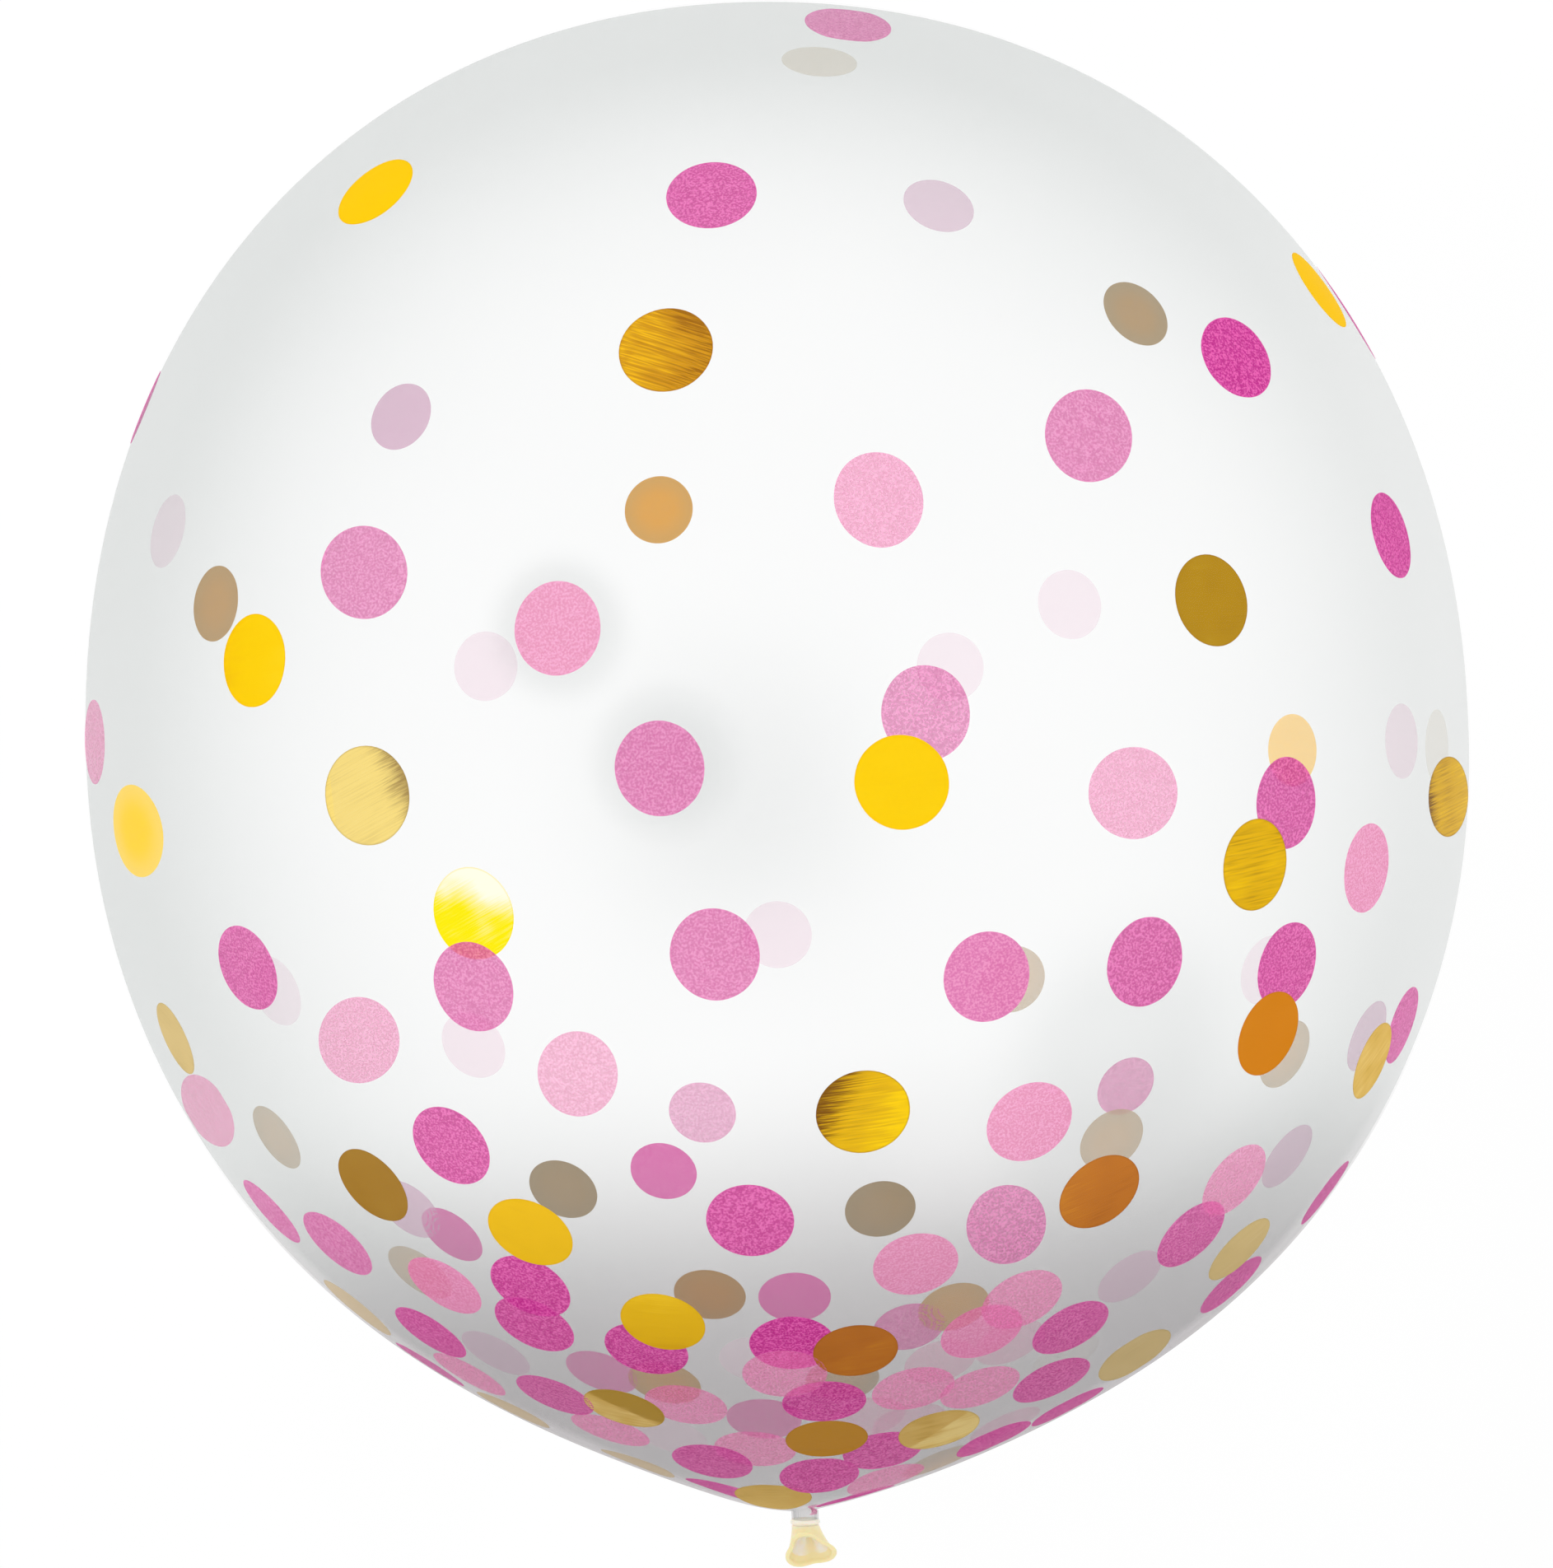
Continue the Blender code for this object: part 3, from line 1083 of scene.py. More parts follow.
@dataclass
class KnotAndTail:
    """The rolled knot and the flared tail beyond it, with its lip curled towards the camera."""

    form: BalloonForm
    finish: LatexFinish
    knot_radius: float = 0.0067
    knot_length: float = 0.0024
    waist_radius: float = 0.0056
    tail_length: float = 0.0119
    lip_radius: float = 0.0096
    tail_aside: float = 0.0013
    tail_wall: float = 0.0009
    throat_share: float = 0.30
    fold_height: float = 0.0016
    bead_radius: float = 0.0011
    curl_gap: float = 0.0020
    flare: float = 0.55
    lobes: int = 3
    lobe_depth: float = 0.18
    lobe_turn: float = math.radians(15.0)
    sides: int = 144
    knot_steps: int = 14
    flare_steps: int = 28
    bead_steps: int = 16
    knot_tone_and_highlight: float = 1.0
    lip_tone: float = -0.45
    lip_reach: float = 0.00132
    hollow_tone_and_light: float = 0.75
    hollow_lobe: float = 0.5
    throat_radius: float = 0.0015
    throat_shade: float = 300.0
    flare_tone: float = 0.55
    flare_deepening: float = 0.75
    deep_share: float = 0.4

    @property
    def knot_end(self) -> float:
        """Where the tail leaves the knot, standing."""
        return self.form.knot_start - self.knot_length

    def tail_place(self, share: float) -> float:
        """How high a share of the tail's length lies, standing."""
        return self.knot_end - self.tail_length * share

    def flare_radius(self, share: float) -> float:
        """Radius of the middle of the tail's wall.

        Args:
            share: How far along the tail, from 0 to 1.

        Returns:
            The radius.
        """
        opening = 1 - math.cos(math.pi / 2 * share)
        grown = (1 - self.flare) * share + self.flare * opening
        return self.waist_radius + (self.lip_radius - self.waist_radius) * grown

    def outline(self) -> Outline:
        """The outline round the knot, down the tail, round its rolled lip and back to the throat.

        Returns:
            Pairs of radius and height, standing.
        """
        points = [(0.0, self.form.knot_start)]
        for step in range(self.knot_steps + 1):
            share = step / self.knot_steps
            foot = self.form.neck_radius + (self.waist_radius - self.form.neck_radius) * share
            bulge = (self.knot_radius - foot) * math.sin(math.pi * share)
            points.append((foot + bulge, self.form.knot_start - self.knot_length * share))
        half = self.tail_wall / 2
        shares = [step / self.flare_steps for step in range(1, self.flare_steps)]
        for share in shares:
            points.append((self.flare_radius(share) + half, self.tail_place(share)))
        meets = math.acos(half / self.bead_radius)
        for step in range(self.bead_steps + 1):
            angle = meets - (math.pi + meets) * step / self.bead_steps
            points.append((self.lip_radius + self.bead_radius * math.cos(angle),
                           self.tail_place(1.0) + self.bead_radius * math.sin(angle)))
        for share in reversed(shares):
            if share > self.throat_share:
                open_share = (share - self.throat_share) / (1 - self.throat_share)
                points.append(((self.lip_radius - self.bead_radius) * open_share**0.7,
                               self.tail_place(share)))
        return [*points, (0.0, self.tail_place(self.throat_share))]

    def shaped(self, points: np.ndarray) -> np.ndarray:
        """Draws the tail into its lobes, curls it and lays it down.

        Args:
            points: Rows of x, y and z, standing.

        Returns:
            The points in the model's frame.
        """
        along = self.knot_end - points[:, 2]
        tail = along > 0
        share = np.clip(along / self.tail_length, 0.0, 1.0)
        around = np.arctan2(points[:, 1], points[:, 0])
        lobe = np.cos(self.lobes * (around - self.lobe_turn))
        swell = 1 + self.lobe_depth * share * lobe
        x, y = points[:, 0] * swell, points[:, 1] * swell
        walls = np.array([self.flare_radius(value) - self.tail_wall / 2 for value in share])
        inside = np.clip(1 - np.hypot(points[:, 0], points[:, 1]) / walls, 0.0, 1.0)
        ridge = np.clip(-lobe, 0.0, 1.0) ** 1.5 * np.sin(math.pi * inside)
        along = along - self.fold_height * ridge * tail
        arc = self.lip_radius * (1 + self.lobe_depth) + self.bead_radius + self.curl_gap
        angle = along / arc
        bent = np.stack([x + self.tail_aside * share, (arc + y) * np.cos(angle) - arc,
                         self.knot_end - (arc + y) * np.sin(angle)], axis=1)
        return self.form.laid(np.where(tail[:, None], bent, points), 0.0)

    def build(self, kit: GroupKit) -> list[bpy.types.Object]:
        """Makes the knot and the tail.

        Args:
            kit: The shared groups.

        Returns:
            The one piece that they are.
        """
        outline = self.outline()
        mesh = turned_mesh("latex_tail", outline, self.sides, self.shaped)
        bend = mesh.attributes.new("bend", "FLOAT", "POINT")
        bend.data.foreach_set("value", self.tail_tones_and_light(outline))
        mesh.materials.append(self.finish.tail(kit))
        return [shown_piece(mesh, shadow=True)]

    def tail_tones_and_light(self, outline: Outline) -> list[float]:
        """How pale each point is: the knot's band pale, folded latex with a painted highlight; the
        hollows pale, thin latex with painted light through it; the throat in painted shade; the lip
        and folds deep.

        Args:
            outline: The outline that the mesh was turned from.

        Returns:
            One number for each point, negative where it is deeper.
        """
        tail_tones_and_light = []
        for radius, height in outline[1:-1]:
            share = min(max((self.knot_end - height) / self.tail_length, 0.0), 1.0)
            within = self.flare_radius(share) - radius
            for side in range(self.sides):
                around = 2 * math.pi * side / self.sides
                lobe = math.cos(self.lobes * (around - self.lobe_turn))
                if height > self.knot_end:
                    tone = self.knot_tone_and_highlight
                elif abs(height - self.tail_place(1.0)) < self.lip_reach:
                    tone = self.lip_tone
                elif within > 0:
                    throat = self.throat_shade * max(0.0, self.throat_radius - radius)
                    tone = self.hollow_tone_and_light + self.hollow_lobe * lobe - throat
                else:
                    deep = min(share / self.deep_share, 1.0)
                    tone = self.flare_tone - self.flare_deepening * deep
                tail_tones_and_light.append(tone)
        return [*tail_tones_and_light, 1.0, -1.0]


@dataclass(frozen=True)
class Spot:
    """One disc of confetti, placed by the photograph's pixel over its middle.

    level counts the discs between it and the skin, and lift is how far its side nearest the camera
    stands off the skin, in metres. wide and tall stretch it, and turn turns it in its own plane.
    tone makes all of it paler or deeper, shade and lit paint shade and light on one side each, and
    a painted crease gives a step of reflection between its halves on the flat disc. brush turns its
    brushing.
    """

    across: float
    down: float
    level: int = 0
    wide: float = 1.0
    tall: float = 1.0
    turn: float = 0.0
    lift: float = 0.0
    tone: float = 0.0
    brush: float = 0.1
    shade: float = 0.0
    shade_way: float = 0.0
    shade_reach: float = 0.8
    lit: float = 0.0
    crease_shade: float = 0.0


NEAR_SPOTS: dict[Paper, tuple[Spot, ...]] = {
    Paper.MAGENTA: (
        Spot(864, 237, wide=1.04, turn=-0.13, tone=0.2),
        Spot(1501, 434, wide=1.02, tall=1.17, turn=-0.74, tone=-0.9),
        Spot(1689, 650, wide=1.08, tall=0.99, turn=0.71, tone=-0.4),
        Spot(1562, 975, level=1, tone=0.2),
        Spot(301, 1175, wide=1.08, tall=0.96, turn=0.1, tone=0.6), Spot(1390, 1168, tone=0.4),
        Spot(1563, 1173, level=1),
        Spot(1703, 1245, level=1, wide=0.94, tall=1.12, turn=0.28, tone=0.8),
        Spot(548, 1391, tone=0.2), Spot(911, 1482), Spot(1446.5, 1499, level=1, tone=0.7),
        Spot(1610, 1449, lift=0.003), Spot(1495, 1560, tall=1.04, lift=0.0012, tone=0.35),
        Spot(644, 1562, level=1, tone=-0.3), Spot(649, 1608), Spot(523, 1618, tone=0.2),
        Spot(522, 1657, tone=0.9), Spot(785, 1638, level=1, tone=-0.2),
        Spot(962, 1631, level=1, tone=-0.9), Spot(1001, 1702, level=1), Spot(1300, 1612, tone=0.55),
        Spot(1277, 1676, wide=1.02, tall=1.14, turn=0.19, tone=0.6),
        Spot(1072, 1762, level=2, lift=0.0047, tone=0.3),
        Spot(1298, 1711.5, wide=1.03, tall=1.03, lift=0.003),
        Spot(1208.5, 1751, wide=1.03, tall=1.03, lift=0.006), Spot(674, 1694, tone=0.7),
        Spot(865, 1775, level=1, tall=1.38, tone=0.4), Spot(995, 1792, lift=0.0058),
        Spot(876, 1815, level=1, lift=0.004), Spot(170, 490, tall=0.85),
        Spot(1636, 378, level=1, wide=1.4, tall=0.9), Spot(1040, 1824, level=1),
    ),
    Paper.ORCHID: (
        Spot(1030, 29, level=5, wide=1.07, tall=1.07, lift=0.006),
        Spot(1322, 529, wide=1.03, tall=1.16, turn=-0.68), Spot(442, 695, lift=0.0115),
        Spot(801, 933), Spot(1124, 866, level=1, tone=0.4), Spot(575, 1198, tone=-0.1),
        Spot(868, 1159, tone=-0.1), Spot(1222, 1487, wide=0.93, tall=0.93, lift=0.011, tone=0.3),
        Spot(410, 1510, wide=1.03, tall=1.11, turn=-0.74),
        Spot(330, 1471, wide=1.08, tall=0.9, turn=0.46),
    ),
    Paper.PINK: (
        Spot(1067, 607, tall=1.04), Spot(677, 763, tone=-0.3),
        Spot(1376, 963, wide=1.03, tall=0.98, turn=-0.46, lift=0.0075),
        Spot(1659.5, 1054, tone=-0.5), Spot(115, 901, lift=0.006),
        Spot(436, 1263, wide=0.94, tall=0.94, lift=0.015),
        Spot(701.5, 1304, wide=0.92, tall=1.04, turn=-0.4, tone=0.3),
        Spot(247.5, 1351, level=1, lift=0.0175, tone=0.2),
        Spot(1250, 1362, wide=1.04, tall=0.97, turn=0.65, tone=-0.4),
        Spot(1112, 1535, wide=1.01, tall=0.93, turn=-0.68, tone=-0.3), Spot(1498.6, 1433),
        Spot(540, 1561, tall=0.93, turn=0.45, tone=-0.5), Spot(570, 1669, level=1), Spot(953, 1668),
        Spot(1241, 1578), Spot(1192, 1617, level=1, tone=-0.3), Spot(1109, 1686),
        Spot(1190, 1685, level=1), Spot(833, 1706, level=1), Spot(741, 1737, level=2),
        Spot(917, 1760, level=2, lift=0.0029), Spot(1076, 1798, level=2, lift=0.0065),
        Spot(979, 1842, wide=0.26, tall=0.12),
    ),
    Paper.LEMON: (
        Spot(456, 233, wide=1.07, tall=1.17, turn=0.42),
        Spot(1602, 352, wide=1.1, tall=1.15, turn=-0.32),
        Spot(309, 802, wide=1.09, tall=1.01, turn=-0.44, shade=0.4, shade_way=math.pi, lit=0.3),
        Spot(1095, 950, wide=1.07, tall=0.98, turn=-0.52),
    ),
    Paper.GOLD: (
        Spot(644, 1496, wide=1.05, tall=0.96, turn=0.13, brush=-0.1),
        Spot(805, 1605, shade=0.3, shade_way=-1.57, lit=0.6),
    ),
    Paper.HONEY: (Spot(168, 1009, wide=1.65, tall=1.05, turn=0.14),),
    Paper.CITRON: (
        Spot(575, 1109, level=1, tone=0.15, brush=0.6, shade=0.3, shade_way=-1.8, lit=1.5),
    ),
    Paper.OCHRE: (
        Spot(1048, 1350, wide=1.05, tall=1.01, turn=-0.63, brush=0.06, shade=1.3, shade_way=2.7,
             lit=0.9),
        Spot(1524, 1050, shade_way=-0.3, lit=0.1),
        Spot(1759, 967.5, wide=0.95, tall=0.95, lift=0.015, brush=-0.1, shade=1.1,
             shade_way=math.pi, shade_reach=0.5, lit=0.5),
    ),
    Paper.AMBER: (
        Spot(808.6, 425, wide=1.07, turn=0.74, brush=-0.45, shade=0.8, shade_way=0.1,
             shade_reach=1.1, lit=0.3),
    ),
    Paper.TANGERINE: (Spot(1540, 1255, shade_way=2.8, lit=0.2),),
    Paper.COPPER: (
        Spot(1335, 1447, wide=1.04, tone=-0.15, shade_way=-0.3, lit=0.6),
        Spot(1039, 1640, shade_way=0.55, crease_shade=-0.2),
    ),
    Paper.BRONZE: (Spot(1004, 1747, lift=0.0022),),
    Paper.OLIVE: (Spot(1471, 729, wide=1.05, turn=0.77),),
    Paper.CHAMPAGNE: (
        Spot(446, 966, wide=1.06, tall=1.06, lift=0.006, brush=0.45, shade=1.0, shade_way=0.45,
             shade_reach=0.65),
    ),
    Paper.PALE: (
        Spot(1140.5, 1736, wide=1.02, tall=1.1, turn=0.15, lift=0.0022, tone=0.35, shade_way=0.8,
             crease_shade=-0.45),
        Spot(1666.5, 1288, wide=0.92, tall=1.04, turn=0.06), Spot(939, 1818, lift=0.005),
        Spot(758, 1710, tone=-0.6, shade_way=-0.55, crease_shade=-0.8),
    ),
    Paper.ASH: (
        Spot(213, 1261, wide=0.94, tall=0.88, turn=-0.47, tone=-0.2), Spot(1505, 1517),
        Spot(1378, 1645.5, wide=1.04, tall=1.04, lift=0.006),
    ),
    Paper.ORCHID_CARD: (Spot(1198, 1186),),
    Paper.SMOKE: (
        Spot(434, 1588, wide=1.06, tall=1.06), Spot(623, 1712), Spot(774, 1779, lift=0.0025),
    ),
    Paper.MOSS: (Spot(453, 1439),),
}

FAR_SPOTS: dict[Paper, tuple[Spot, ...]] = {
    Paper.TAN: (Spot(1379, 381, wide=1.02, tall=1.06, turn=0.75), Spot(1023, 1675, tone=1.5)),
    Paper.SAND: (
        Spot(1229, 1189), Spot(1560, 1280), Spot(336, 1381, wide=0.91, tall=0.98, turn=-0.68),
        Spot(1350, 1384, level=1, tone=-0.65), Spot(510, 1545), Spot(1141, 1774),
    ),
    Paper.CREAM: (Spot(1569.5, 911, tone=-0.3),),
    Paper.IVORY: (Spot(995, 75, tone=-0.5), Spot(1745, 908, tone=0.5), Spot(1294, 1647, tone=1.0)),
    Paper.FAWN: (Spot(800, 619),),
    Paper.ORCHID: (
        Spot(1367, 1319, wide=0.92, tall=0.89, turn=-0.22, tone=0.7), Spot(1104, 1611),
        Spot(731, 1666), Spot(928, 1723), Spot(853, 1351, wide=0.96, tall=0.98, tone=1.0),
    ),
    Paper.ORCHID_PLY: (
        Spot(806, 1422, wide=0.95, tall=0.96), Spot(965, 1575),
        Spot(549, 1499, wide=0.98, tall=0.87, turn=0.63, tone=0.5),
    ),
    Paper.PINK: (
        Spot(1104, 1728, tone=1.4), Spot(1142, 1653, tone=1.4), Spot(1226, 1630, tone=1.4),
        Spot(1054, 1721, tone=1.4), Spot(1220, 1731, tone=1.4),
    ),
    Paper.LILAC: (
        Spot(487, 506, tone=-1.4), Spot(1563, 1404), Spot(1660, 1258, tone=0.3),
        Spot(1140, 250, tone=0.2), Spot(602, 1643), Spot(1372, 1550, tone=0.2),
        Spot(497, 1468, tone=-0.6),
    ),
    Paper.BLUSH: (
        Spot(204, 645, tone=-0.3), Spot(590, 809, tone=-0.25), Spot(1299, 734), Spot(1154, 810),
        Spot(1702, 900, tone=-0.3), Spot(944, 1135, tone=-0.25), Spot(575, 1269, tone=-0.25),
        Spot(335, 1203), Spot(1538, 1178), Spot(815, 1744, tone=-0.3), Spot(918, 1650),
    ),
    Paper.BUFF: (
        Spot(262, 733, wide=1.03, tall=1.05, turn=-0.53), Spot(1158, 1587, tone=0.8),
        Spot(807, 1679, tone=0.4),
    ),
    Paper.UMBER: (Spot(862, 1572),),
    Paper.TAUPE: (Spot(684, 1444), Spot(1069, 1468)),
}


@dataclass
class Confetti:
    """The discs of tissue and foil that cling to the inside of the balloon."""

    form: BalloonForm
    view: Viewpoint
    radius: float = 0.0175
    near_wide: float = 0.99
    near_tall: float = 1.05
    thickness: float = 0.00006
    inset: float = 0.0004
    level_step: float = 0.0001
    rings: int = 7
    spokes: int = 48
    ragged: float = 0.0035
    edge_waves: tuple[int, ...] = (2, 3, 5, 9)
    crease_width: float = 0.04
    sharp_angle: float = math.radians(50.0)
    brush_spread: float = 0.05
    least_across: float = 0.05
    deepest: float = -0.012
    highest: float = 0.004
    halvings: int = 34
    least_seen: int = 3
    settle_share: float = 0.8
    settle_steps: int = 7
    settle_reach: float = 12.0
    steep_lift: float = 0.008

    def flat_grid(self, spot: Spot, wall: Wall, chance: random.Random) -> np.ndarray:
        """The disc's points before it lies on the wall: its middle, then ring after ring.

        Args:
            spot: The disc.
            wall: The wall that it clings to.
            chance: Where its ragged edge comes from.

        Returns:
            Rows of the share across, the share up and how far out each point lies.
        """
        waves = [(count, chance.uniform(0, 2 * math.pi), chance.gauss(0, 1) * 2 / count)
                 for count in self.edge_waves]
        near = wall is Wall.NEAR
        wide = spot.wide * (self.near_wide if near else 1.0)
        tall = spot.tall * (self.near_tall if near else 1.0)
        cos, sin = math.cos(spot.turn), math.sin(spot.turn)
        rows = [(0.0, 0.0, 0.0)]
        for ring in range(1, self.rings + 1):
            reach = math.sin(math.pi / 2 * ring / self.rings)
            for spoke in range(self.spokes):
                angle = 2 * math.pi * spoke / self.spokes
                wobble = sum(size * math.sin(count * angle + start) for count, start, size in waves)
                out = reach * (1 + self.ragged * wobble * reach**3)
                long, short = wide * out * math.cos(angle), tall * out * math.sin(angle)
                rows.append((long * cos - short * sin, long * sin + short * cos, reach))
        return np.array(rows)

    def on_wall(self, middle: np.ndarray, flat: np.ndarray) -> tuple[np.ndarray, np.ndarray]:
        """Lays the flat disc against the skin.

        Args:
            middle: The disc's middle on the skin, standing.
            flat: The rows of flat_grid.

        Returns:
            The points on the skin and their outward directions, both standing.
        """
        normal = self.form.normals(middle[None])[0]
        across = np.array([1.0, 0.0, 0.0])
        right = across - normal * float(normal @ across)
        if np.linalg.norm(right) < self.least_across:
            right = np.cross(normal, np.array([0.0, 0.0, 1.0]))
        right = right / np.linalg.norm(right)
        up = np.cross(normal, right)
        plane = middle + self.radius * (flat[:, :1] * right + flat[:, 1:2] * up)
        low, high = np.full(len(plane), self.deepest), np.full(len(plane), self.highest)
        for _ in range(self.halvings):
            half = (low + high) / 2
            outside = self.form.gap(plane + half[:, None] * normal) > 0
            high = np.where(outside, half, high)
            low = np.where(outside, low, half)
        points = plane + low[:, None] * normal
        return points, self.form.normals(points)

    def laid_on(self, spot: Spot, pixel: np.ndarray, flat: np.ndarray,
                wall: Wall) -> tuple[np.ndarray, np.ndarray]:
        """Lays the disc on the skin under a pixel, with the camera's side off it if it stands off.

        Args:
            spot: The disc.
            pixel: The pixel over the point on the skin that it is laid around.
            flat: The rows of flat_grid.
            wall: The wall that it clings to.

        Returns:
            Its points and their outward directions, both standing.
        """
        middle = self.view.hit(self.form, *pixel, wall)
        points, normals = self.on_wall(middle, flat)
        sight = self.form.standing(np.array([self.view.place]))[0] - middle
        sight = sight - normals[0] * float(normals[0] @ sight)
        nearer = (points - middle) @ sight / (self.radius * np.linalg.norm(sight))
        away = spot.lift * np.clip(1 + nearer[:, None], 0.0, 2.0) / 2
        return points - away * normals[0], normals

    def settled(self, spot: Spot, flat: np.ndarray, wall: Wall) -> tuple[np.ndarray, np.ndarray]:
        """Moves the disc until the part that the camera sees is centred on its pixel.

        Args:
            spot: The disc.
            flat: The rows of flat_grid.
            wall: The wall that it clings to.

        Returns:
            Its points and their outward directions, both standing.
        """
        aim = np.array([spot.across, spot.down])
        pixel = aim.copy()
        best, least = None, math.inf
        for _ in range(self.settle_steps):
            points, normals = self.laid_on(spot, pixel, flat, wall)
            placed = self.form.laid(points - self.inset * normals, self.inset)
            sight = self.form.standing(np.array([self.view.place]))[0] - points
            seen = self.view.pixels(placed)
            if spot.lift < self.steep_lift:
                seen = seen[wall.facing * (sight * normals).sum(axis=1) > 0]
            if len(seen) < self.least_seen:
                break
            middle = (seen.min(axis=0) + seen.max(axis=0)) / 2
            miss = float(np.linalg.norm(aim - middle))
            if miss < least:
                best, least = (points, normals), miss
            pixel = pixel + np.clip(self.settle_share * (aim - middle), -self.settle_reach,
                                    self.settle_reach)
        return best or (points, normals)

    def disc_tones_and_light(self, spot: Spot, flat: np.ndarray) -> np.ndarray:
        """How the disc's tone changes over it: its own tone, a painted shade, a painted lit side, and
        a painted step of reflection across a crease line on the flat disc.

        Args:
            spot: The disc.
            flat: The rows of flat_grid.

        Returns:
            One number for each point, negative where it is deeper.
        """
        cos, sin = math.cos(spot.shade_way), math.sin(spot.shade_way)
        along = flat[:, 0] * cos + flat[:, 1] * sin
        across = flat[:, 1] * cos - flat[:, 0] * sin
        step = np.clip(across / self.crease_width, -1.0, 1.0)
        deep = np.clip((along - 1 + spot.shade_reach) / spot.shade_reach, 0.0, 1.0)
        lit = np.clip(-along, 0.0, 1.0)
        return spot.tone + spot.lit * lit - spot.shade * deep + spot.crease_shade * step

    def disc_faces(self) -> list[tuple[int, ...]]:
        """Joins the points of a disc's two sheets, and the edge between the sheets.

        Returns:
            The numbers of each face's points.
        """
        count = 1 + self.rings * self.spokes
        edge = count - self.spokes
        faces = []
        for spoke in range(self.spokes):
            after = (spoke + 1) % self.spokes
            faces.append((0, 1 + spoke, 1 + after))
            faces.append((count, count + 1 + after, count + 1 + spoke))
            for near in range(1, edge, self.spokes):
                far = near + self.spokes
                faces.append((near + spoke, far + spoke, far + after, near + after))
                faces.append((count + near + spoke, count + near + after, count + far + after,
                              count + far + spoke))
            faces.append((edge + spoke, count + edge + spoke, count + edge + after, edge + after))
        return faces

    def build_disc(self, name: str, spot: Spot, wall: Wall, chance: random.Random
                   ) -> tuple[bpy.types.Mesh, Matrix]:
        """Makes one disc's mesh.

        Args:
            name: The piece's name.
            spot: Where it lies and how it looks.
            wall: The wall that it clings to.
            chance: Where its ragged edge comes from.

        Returns:
            The mesh and the matrix that places it.
        """
        flat = self.flat_grid(spot, wall, chance)
        points, normals = self.settled(spot, flat, wall)
        inset = self.inset + spot.level * self.level_step
        sheets = [self.form.laid(points - depth * normals, depth)
                  for depth in (inset, inset + self.thickness)]
        place = self.own_frame(spot, sheets[0], chance)
        back = np.array(place.inverted())
        local = np.concatenate(sheets) @ back[:3, :3].T + back[:3, 3]
        mesh = bpy.data.meshes.new(name)
        mesh.from_pydata(local.tolist(), [], self.disc_faces())
        face_out(mesh)
        mesh.shade_smooth()
        mesh.set_sharp_from_angle(angle=self.sharp_angle)
        # the second attribute holds each disc's own tone with its painted shade, highlight and crease
        # reflection
        for label, values in (("reach", flat[:, 2]), ("bend", self.disc_tones_and_light(spot, flat))):
            attribute = mesh.attributes.new(label, "FLOAT", "POINT")
            attribute.data.foreach_set("value", np.concatenate([values, values]).astype(np.float32))
        return mesh, place

    def own_frame(self, spot: Spot, points: np.ndarray, chance: random.Random) -> Matrix:
        """The disc's own axes: Z out of the wall, and X along its brushing.

        Args:
            spot: The disc.
            points: Its outer face in the model's frame, its middle first.
            chance: Where a small turn of its brushing comes from.

        Returns:
            The matrix that places it.
        """
        ring = points[-self.spokes:]
        across = Vector(ring[0] - ring[self.spokes // 2]).normalized()
        up = Vector(ring[self.spokes // 4] - ring[3 * self.spokes // 4])
        out = across.cross(up).normalized()
        brushed = spot.brush - spot.turn + chance.gauss(0.0, self.brush_spread)
        axes = Matrix((across, out.cross(across), out)).transposed().to_4x4()
        return Matrix.Translation(Vector(points[0])) @ axes @ Matrix.Rotation(brushed, 4, "Z")

    def build(self, kit: GroupKit) -> list[bpy.types.Object]:
        """Makes every disc.

        Args:
            kit: The shared groups.

        Returns:
            The pieces.
        """
        chance = random.Random(SEED)
        materials = {paper: finish.build(paper.value, kit) for paper, finish in FINISHES.items()}
        made = []
        for wall, groups in ((Wall.NEAR, NEAR_SPOTS), (Wall.FAR, FAR_SPOTS)):
            for paper, spots in groups.items():
                for number, spot in enumerate(spots, 1):
                    name = f"{paper.value}_{wall.value}_{number:02d}"
                    mesh, place = self.build_disc(name, spot, wall, chance)
                    mesh.materials.append(materials[paper])
                    made.append(shown_piece(mesh, place))
        return made


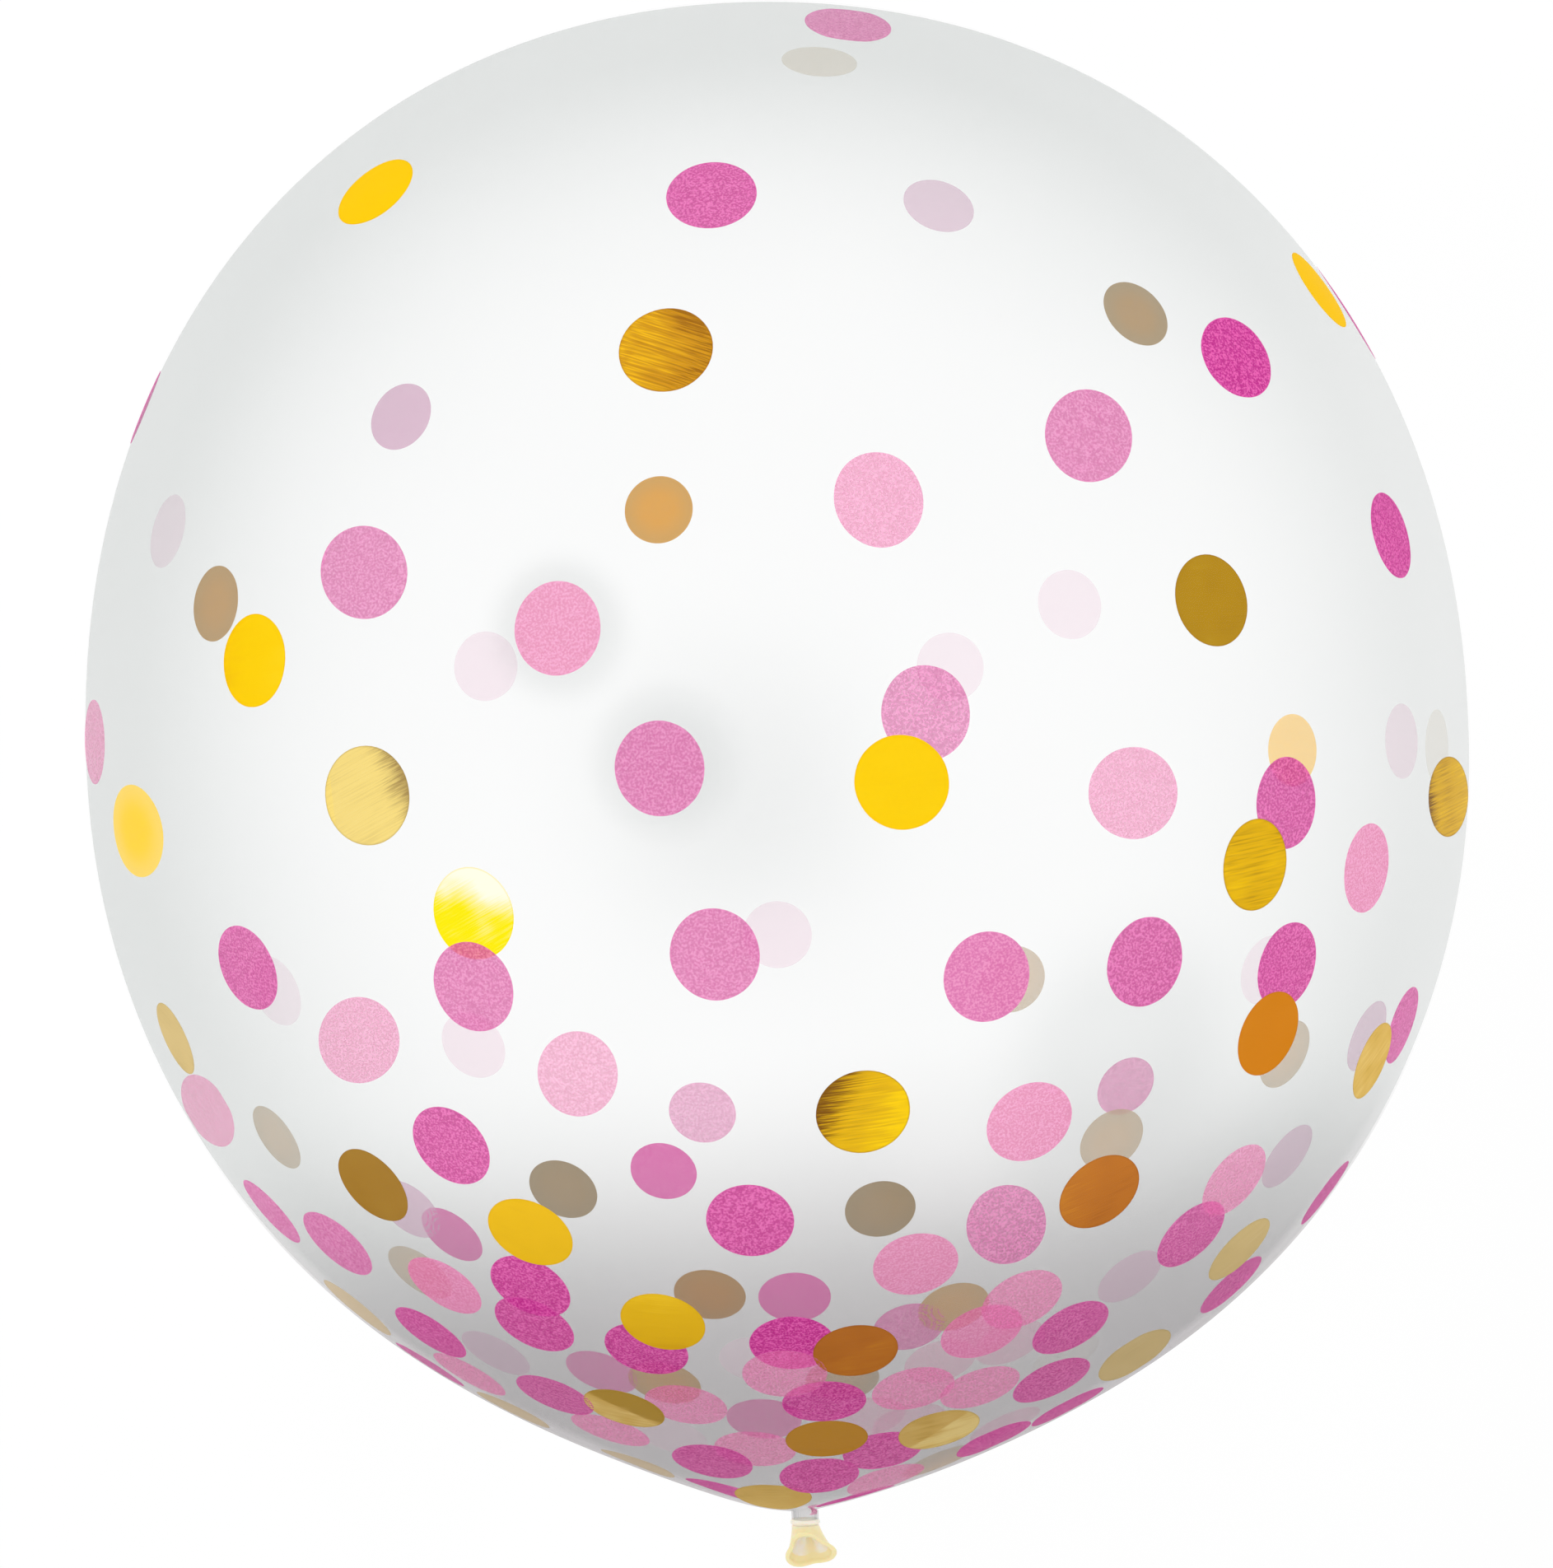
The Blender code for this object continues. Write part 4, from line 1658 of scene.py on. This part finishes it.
@dataclass
class Studio:
    """A pale floor, soft light from above and a pale room."""

    floor_side: float = 14.0
    floor_colour: Colour = (0.955, 0.955, 0.955)
    scuff_colour: Colour = (0.5, 0.5, 0.5)
    scuff_share: float = 0.015
    room_light: float = 0.985
    key_power: float = 12.0
    key_side: float = 3.2
    key_place: Place = (-0.9, 0.9, 3.4)
    key_aim: Place = (0.0, 0.0, 0.3)

    def build(self) -> None:
        """Makes the floor, the room and the light, and sets how light passes the skins."""
        self.build_floor()
        self.build_room()
        self.build_light()
        scene = bpy.context.scene
        scene.view_settings.view_transform = "Standard"
        scene.cycles.transparent_max_bounces = 32
        scene.cycles.max_bounces = 4

    def build_floor(self) -> None:
        """Makes the floor and its finish."""
        material, sketch, shader = started_material("studio_floor")
        grain = sketch.noise(sketch.own_place(), 3.0, 2.0)
        scuffs = sketch.spread(grain, 0.2, 0.0, self.scuff_share)
        tone = sketch.blend(scuffs, self.floor_colour, self.scuff_colour)
        sketch.fill(shader, Base_Color=tone, Roughness=0.9, Specular_IOR_Level=0.0)
        half = self.floor_side / 2
        mesh = bpy.data.meshes.new("studio_floor")
        mesh.from_pydata([(-half, -half, 0), (half, -half, 0), (half, half, 0), (-half, half, 0)],
                         [], [(0, 1, 2, 3)])
        mesh.materials.append(material)
        floor = bpy.data.objects.new("studio_floor", mesh)
        bpy.context.scene.collection.objects.link(floor)

    def build_room(self) -> None:
        """Makes the pale room around the floor."""
        world = bpy.data.worlds.new("pale_room")
        bpy.context.scene.world = world
        world.use_nodes = True
        Sketch(world.node_tree).fill(world.node_tree.nodes["Background"], Color=(1.0, 1.0, 1.0),
                                     Strength=self.room_light)

    def build_light(self) -> None:
        """Makes a square softbox that points at the balloon."""
        data = bpy.data.lights.new("key_softbox", "AREA")
        data.size = self.key_side
        data.energy = self.key_power
        light = bpy.data.objects.new("key_softbox", data)
        light.location = self.key_place
        light.visible_glossy = False
        aim = Vector(self.key_aim) - Vector(self.key_place)
        light.rotation_euler = aim.to_track_quat("-Z", "Y").to_euler()
        bpy.context.scene.collection.objects.link(light)


def main() -> None:
    """Builds the balloon's pieces in order and reports each."""
    logging.basicConfig(level=logging.INFO, format="%(message)s")
    kit = GroupKit()
    kit.build()
    _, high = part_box(NODE)
    form = BalloonForm(crown_end=high.y)
    finish = LatexFinish()
    view = Viewpoint()
    for part in (LatexSkin(form, finish), KnotAndTail(form, finish), Confetti(form, view)):
        for piece in part.build(kit):
            LOG.info("%s: %d faces", piece.name, len(piece.data.polygons))
    view.build()
    Studio().build()


if __name__ == "__main__":
    main()
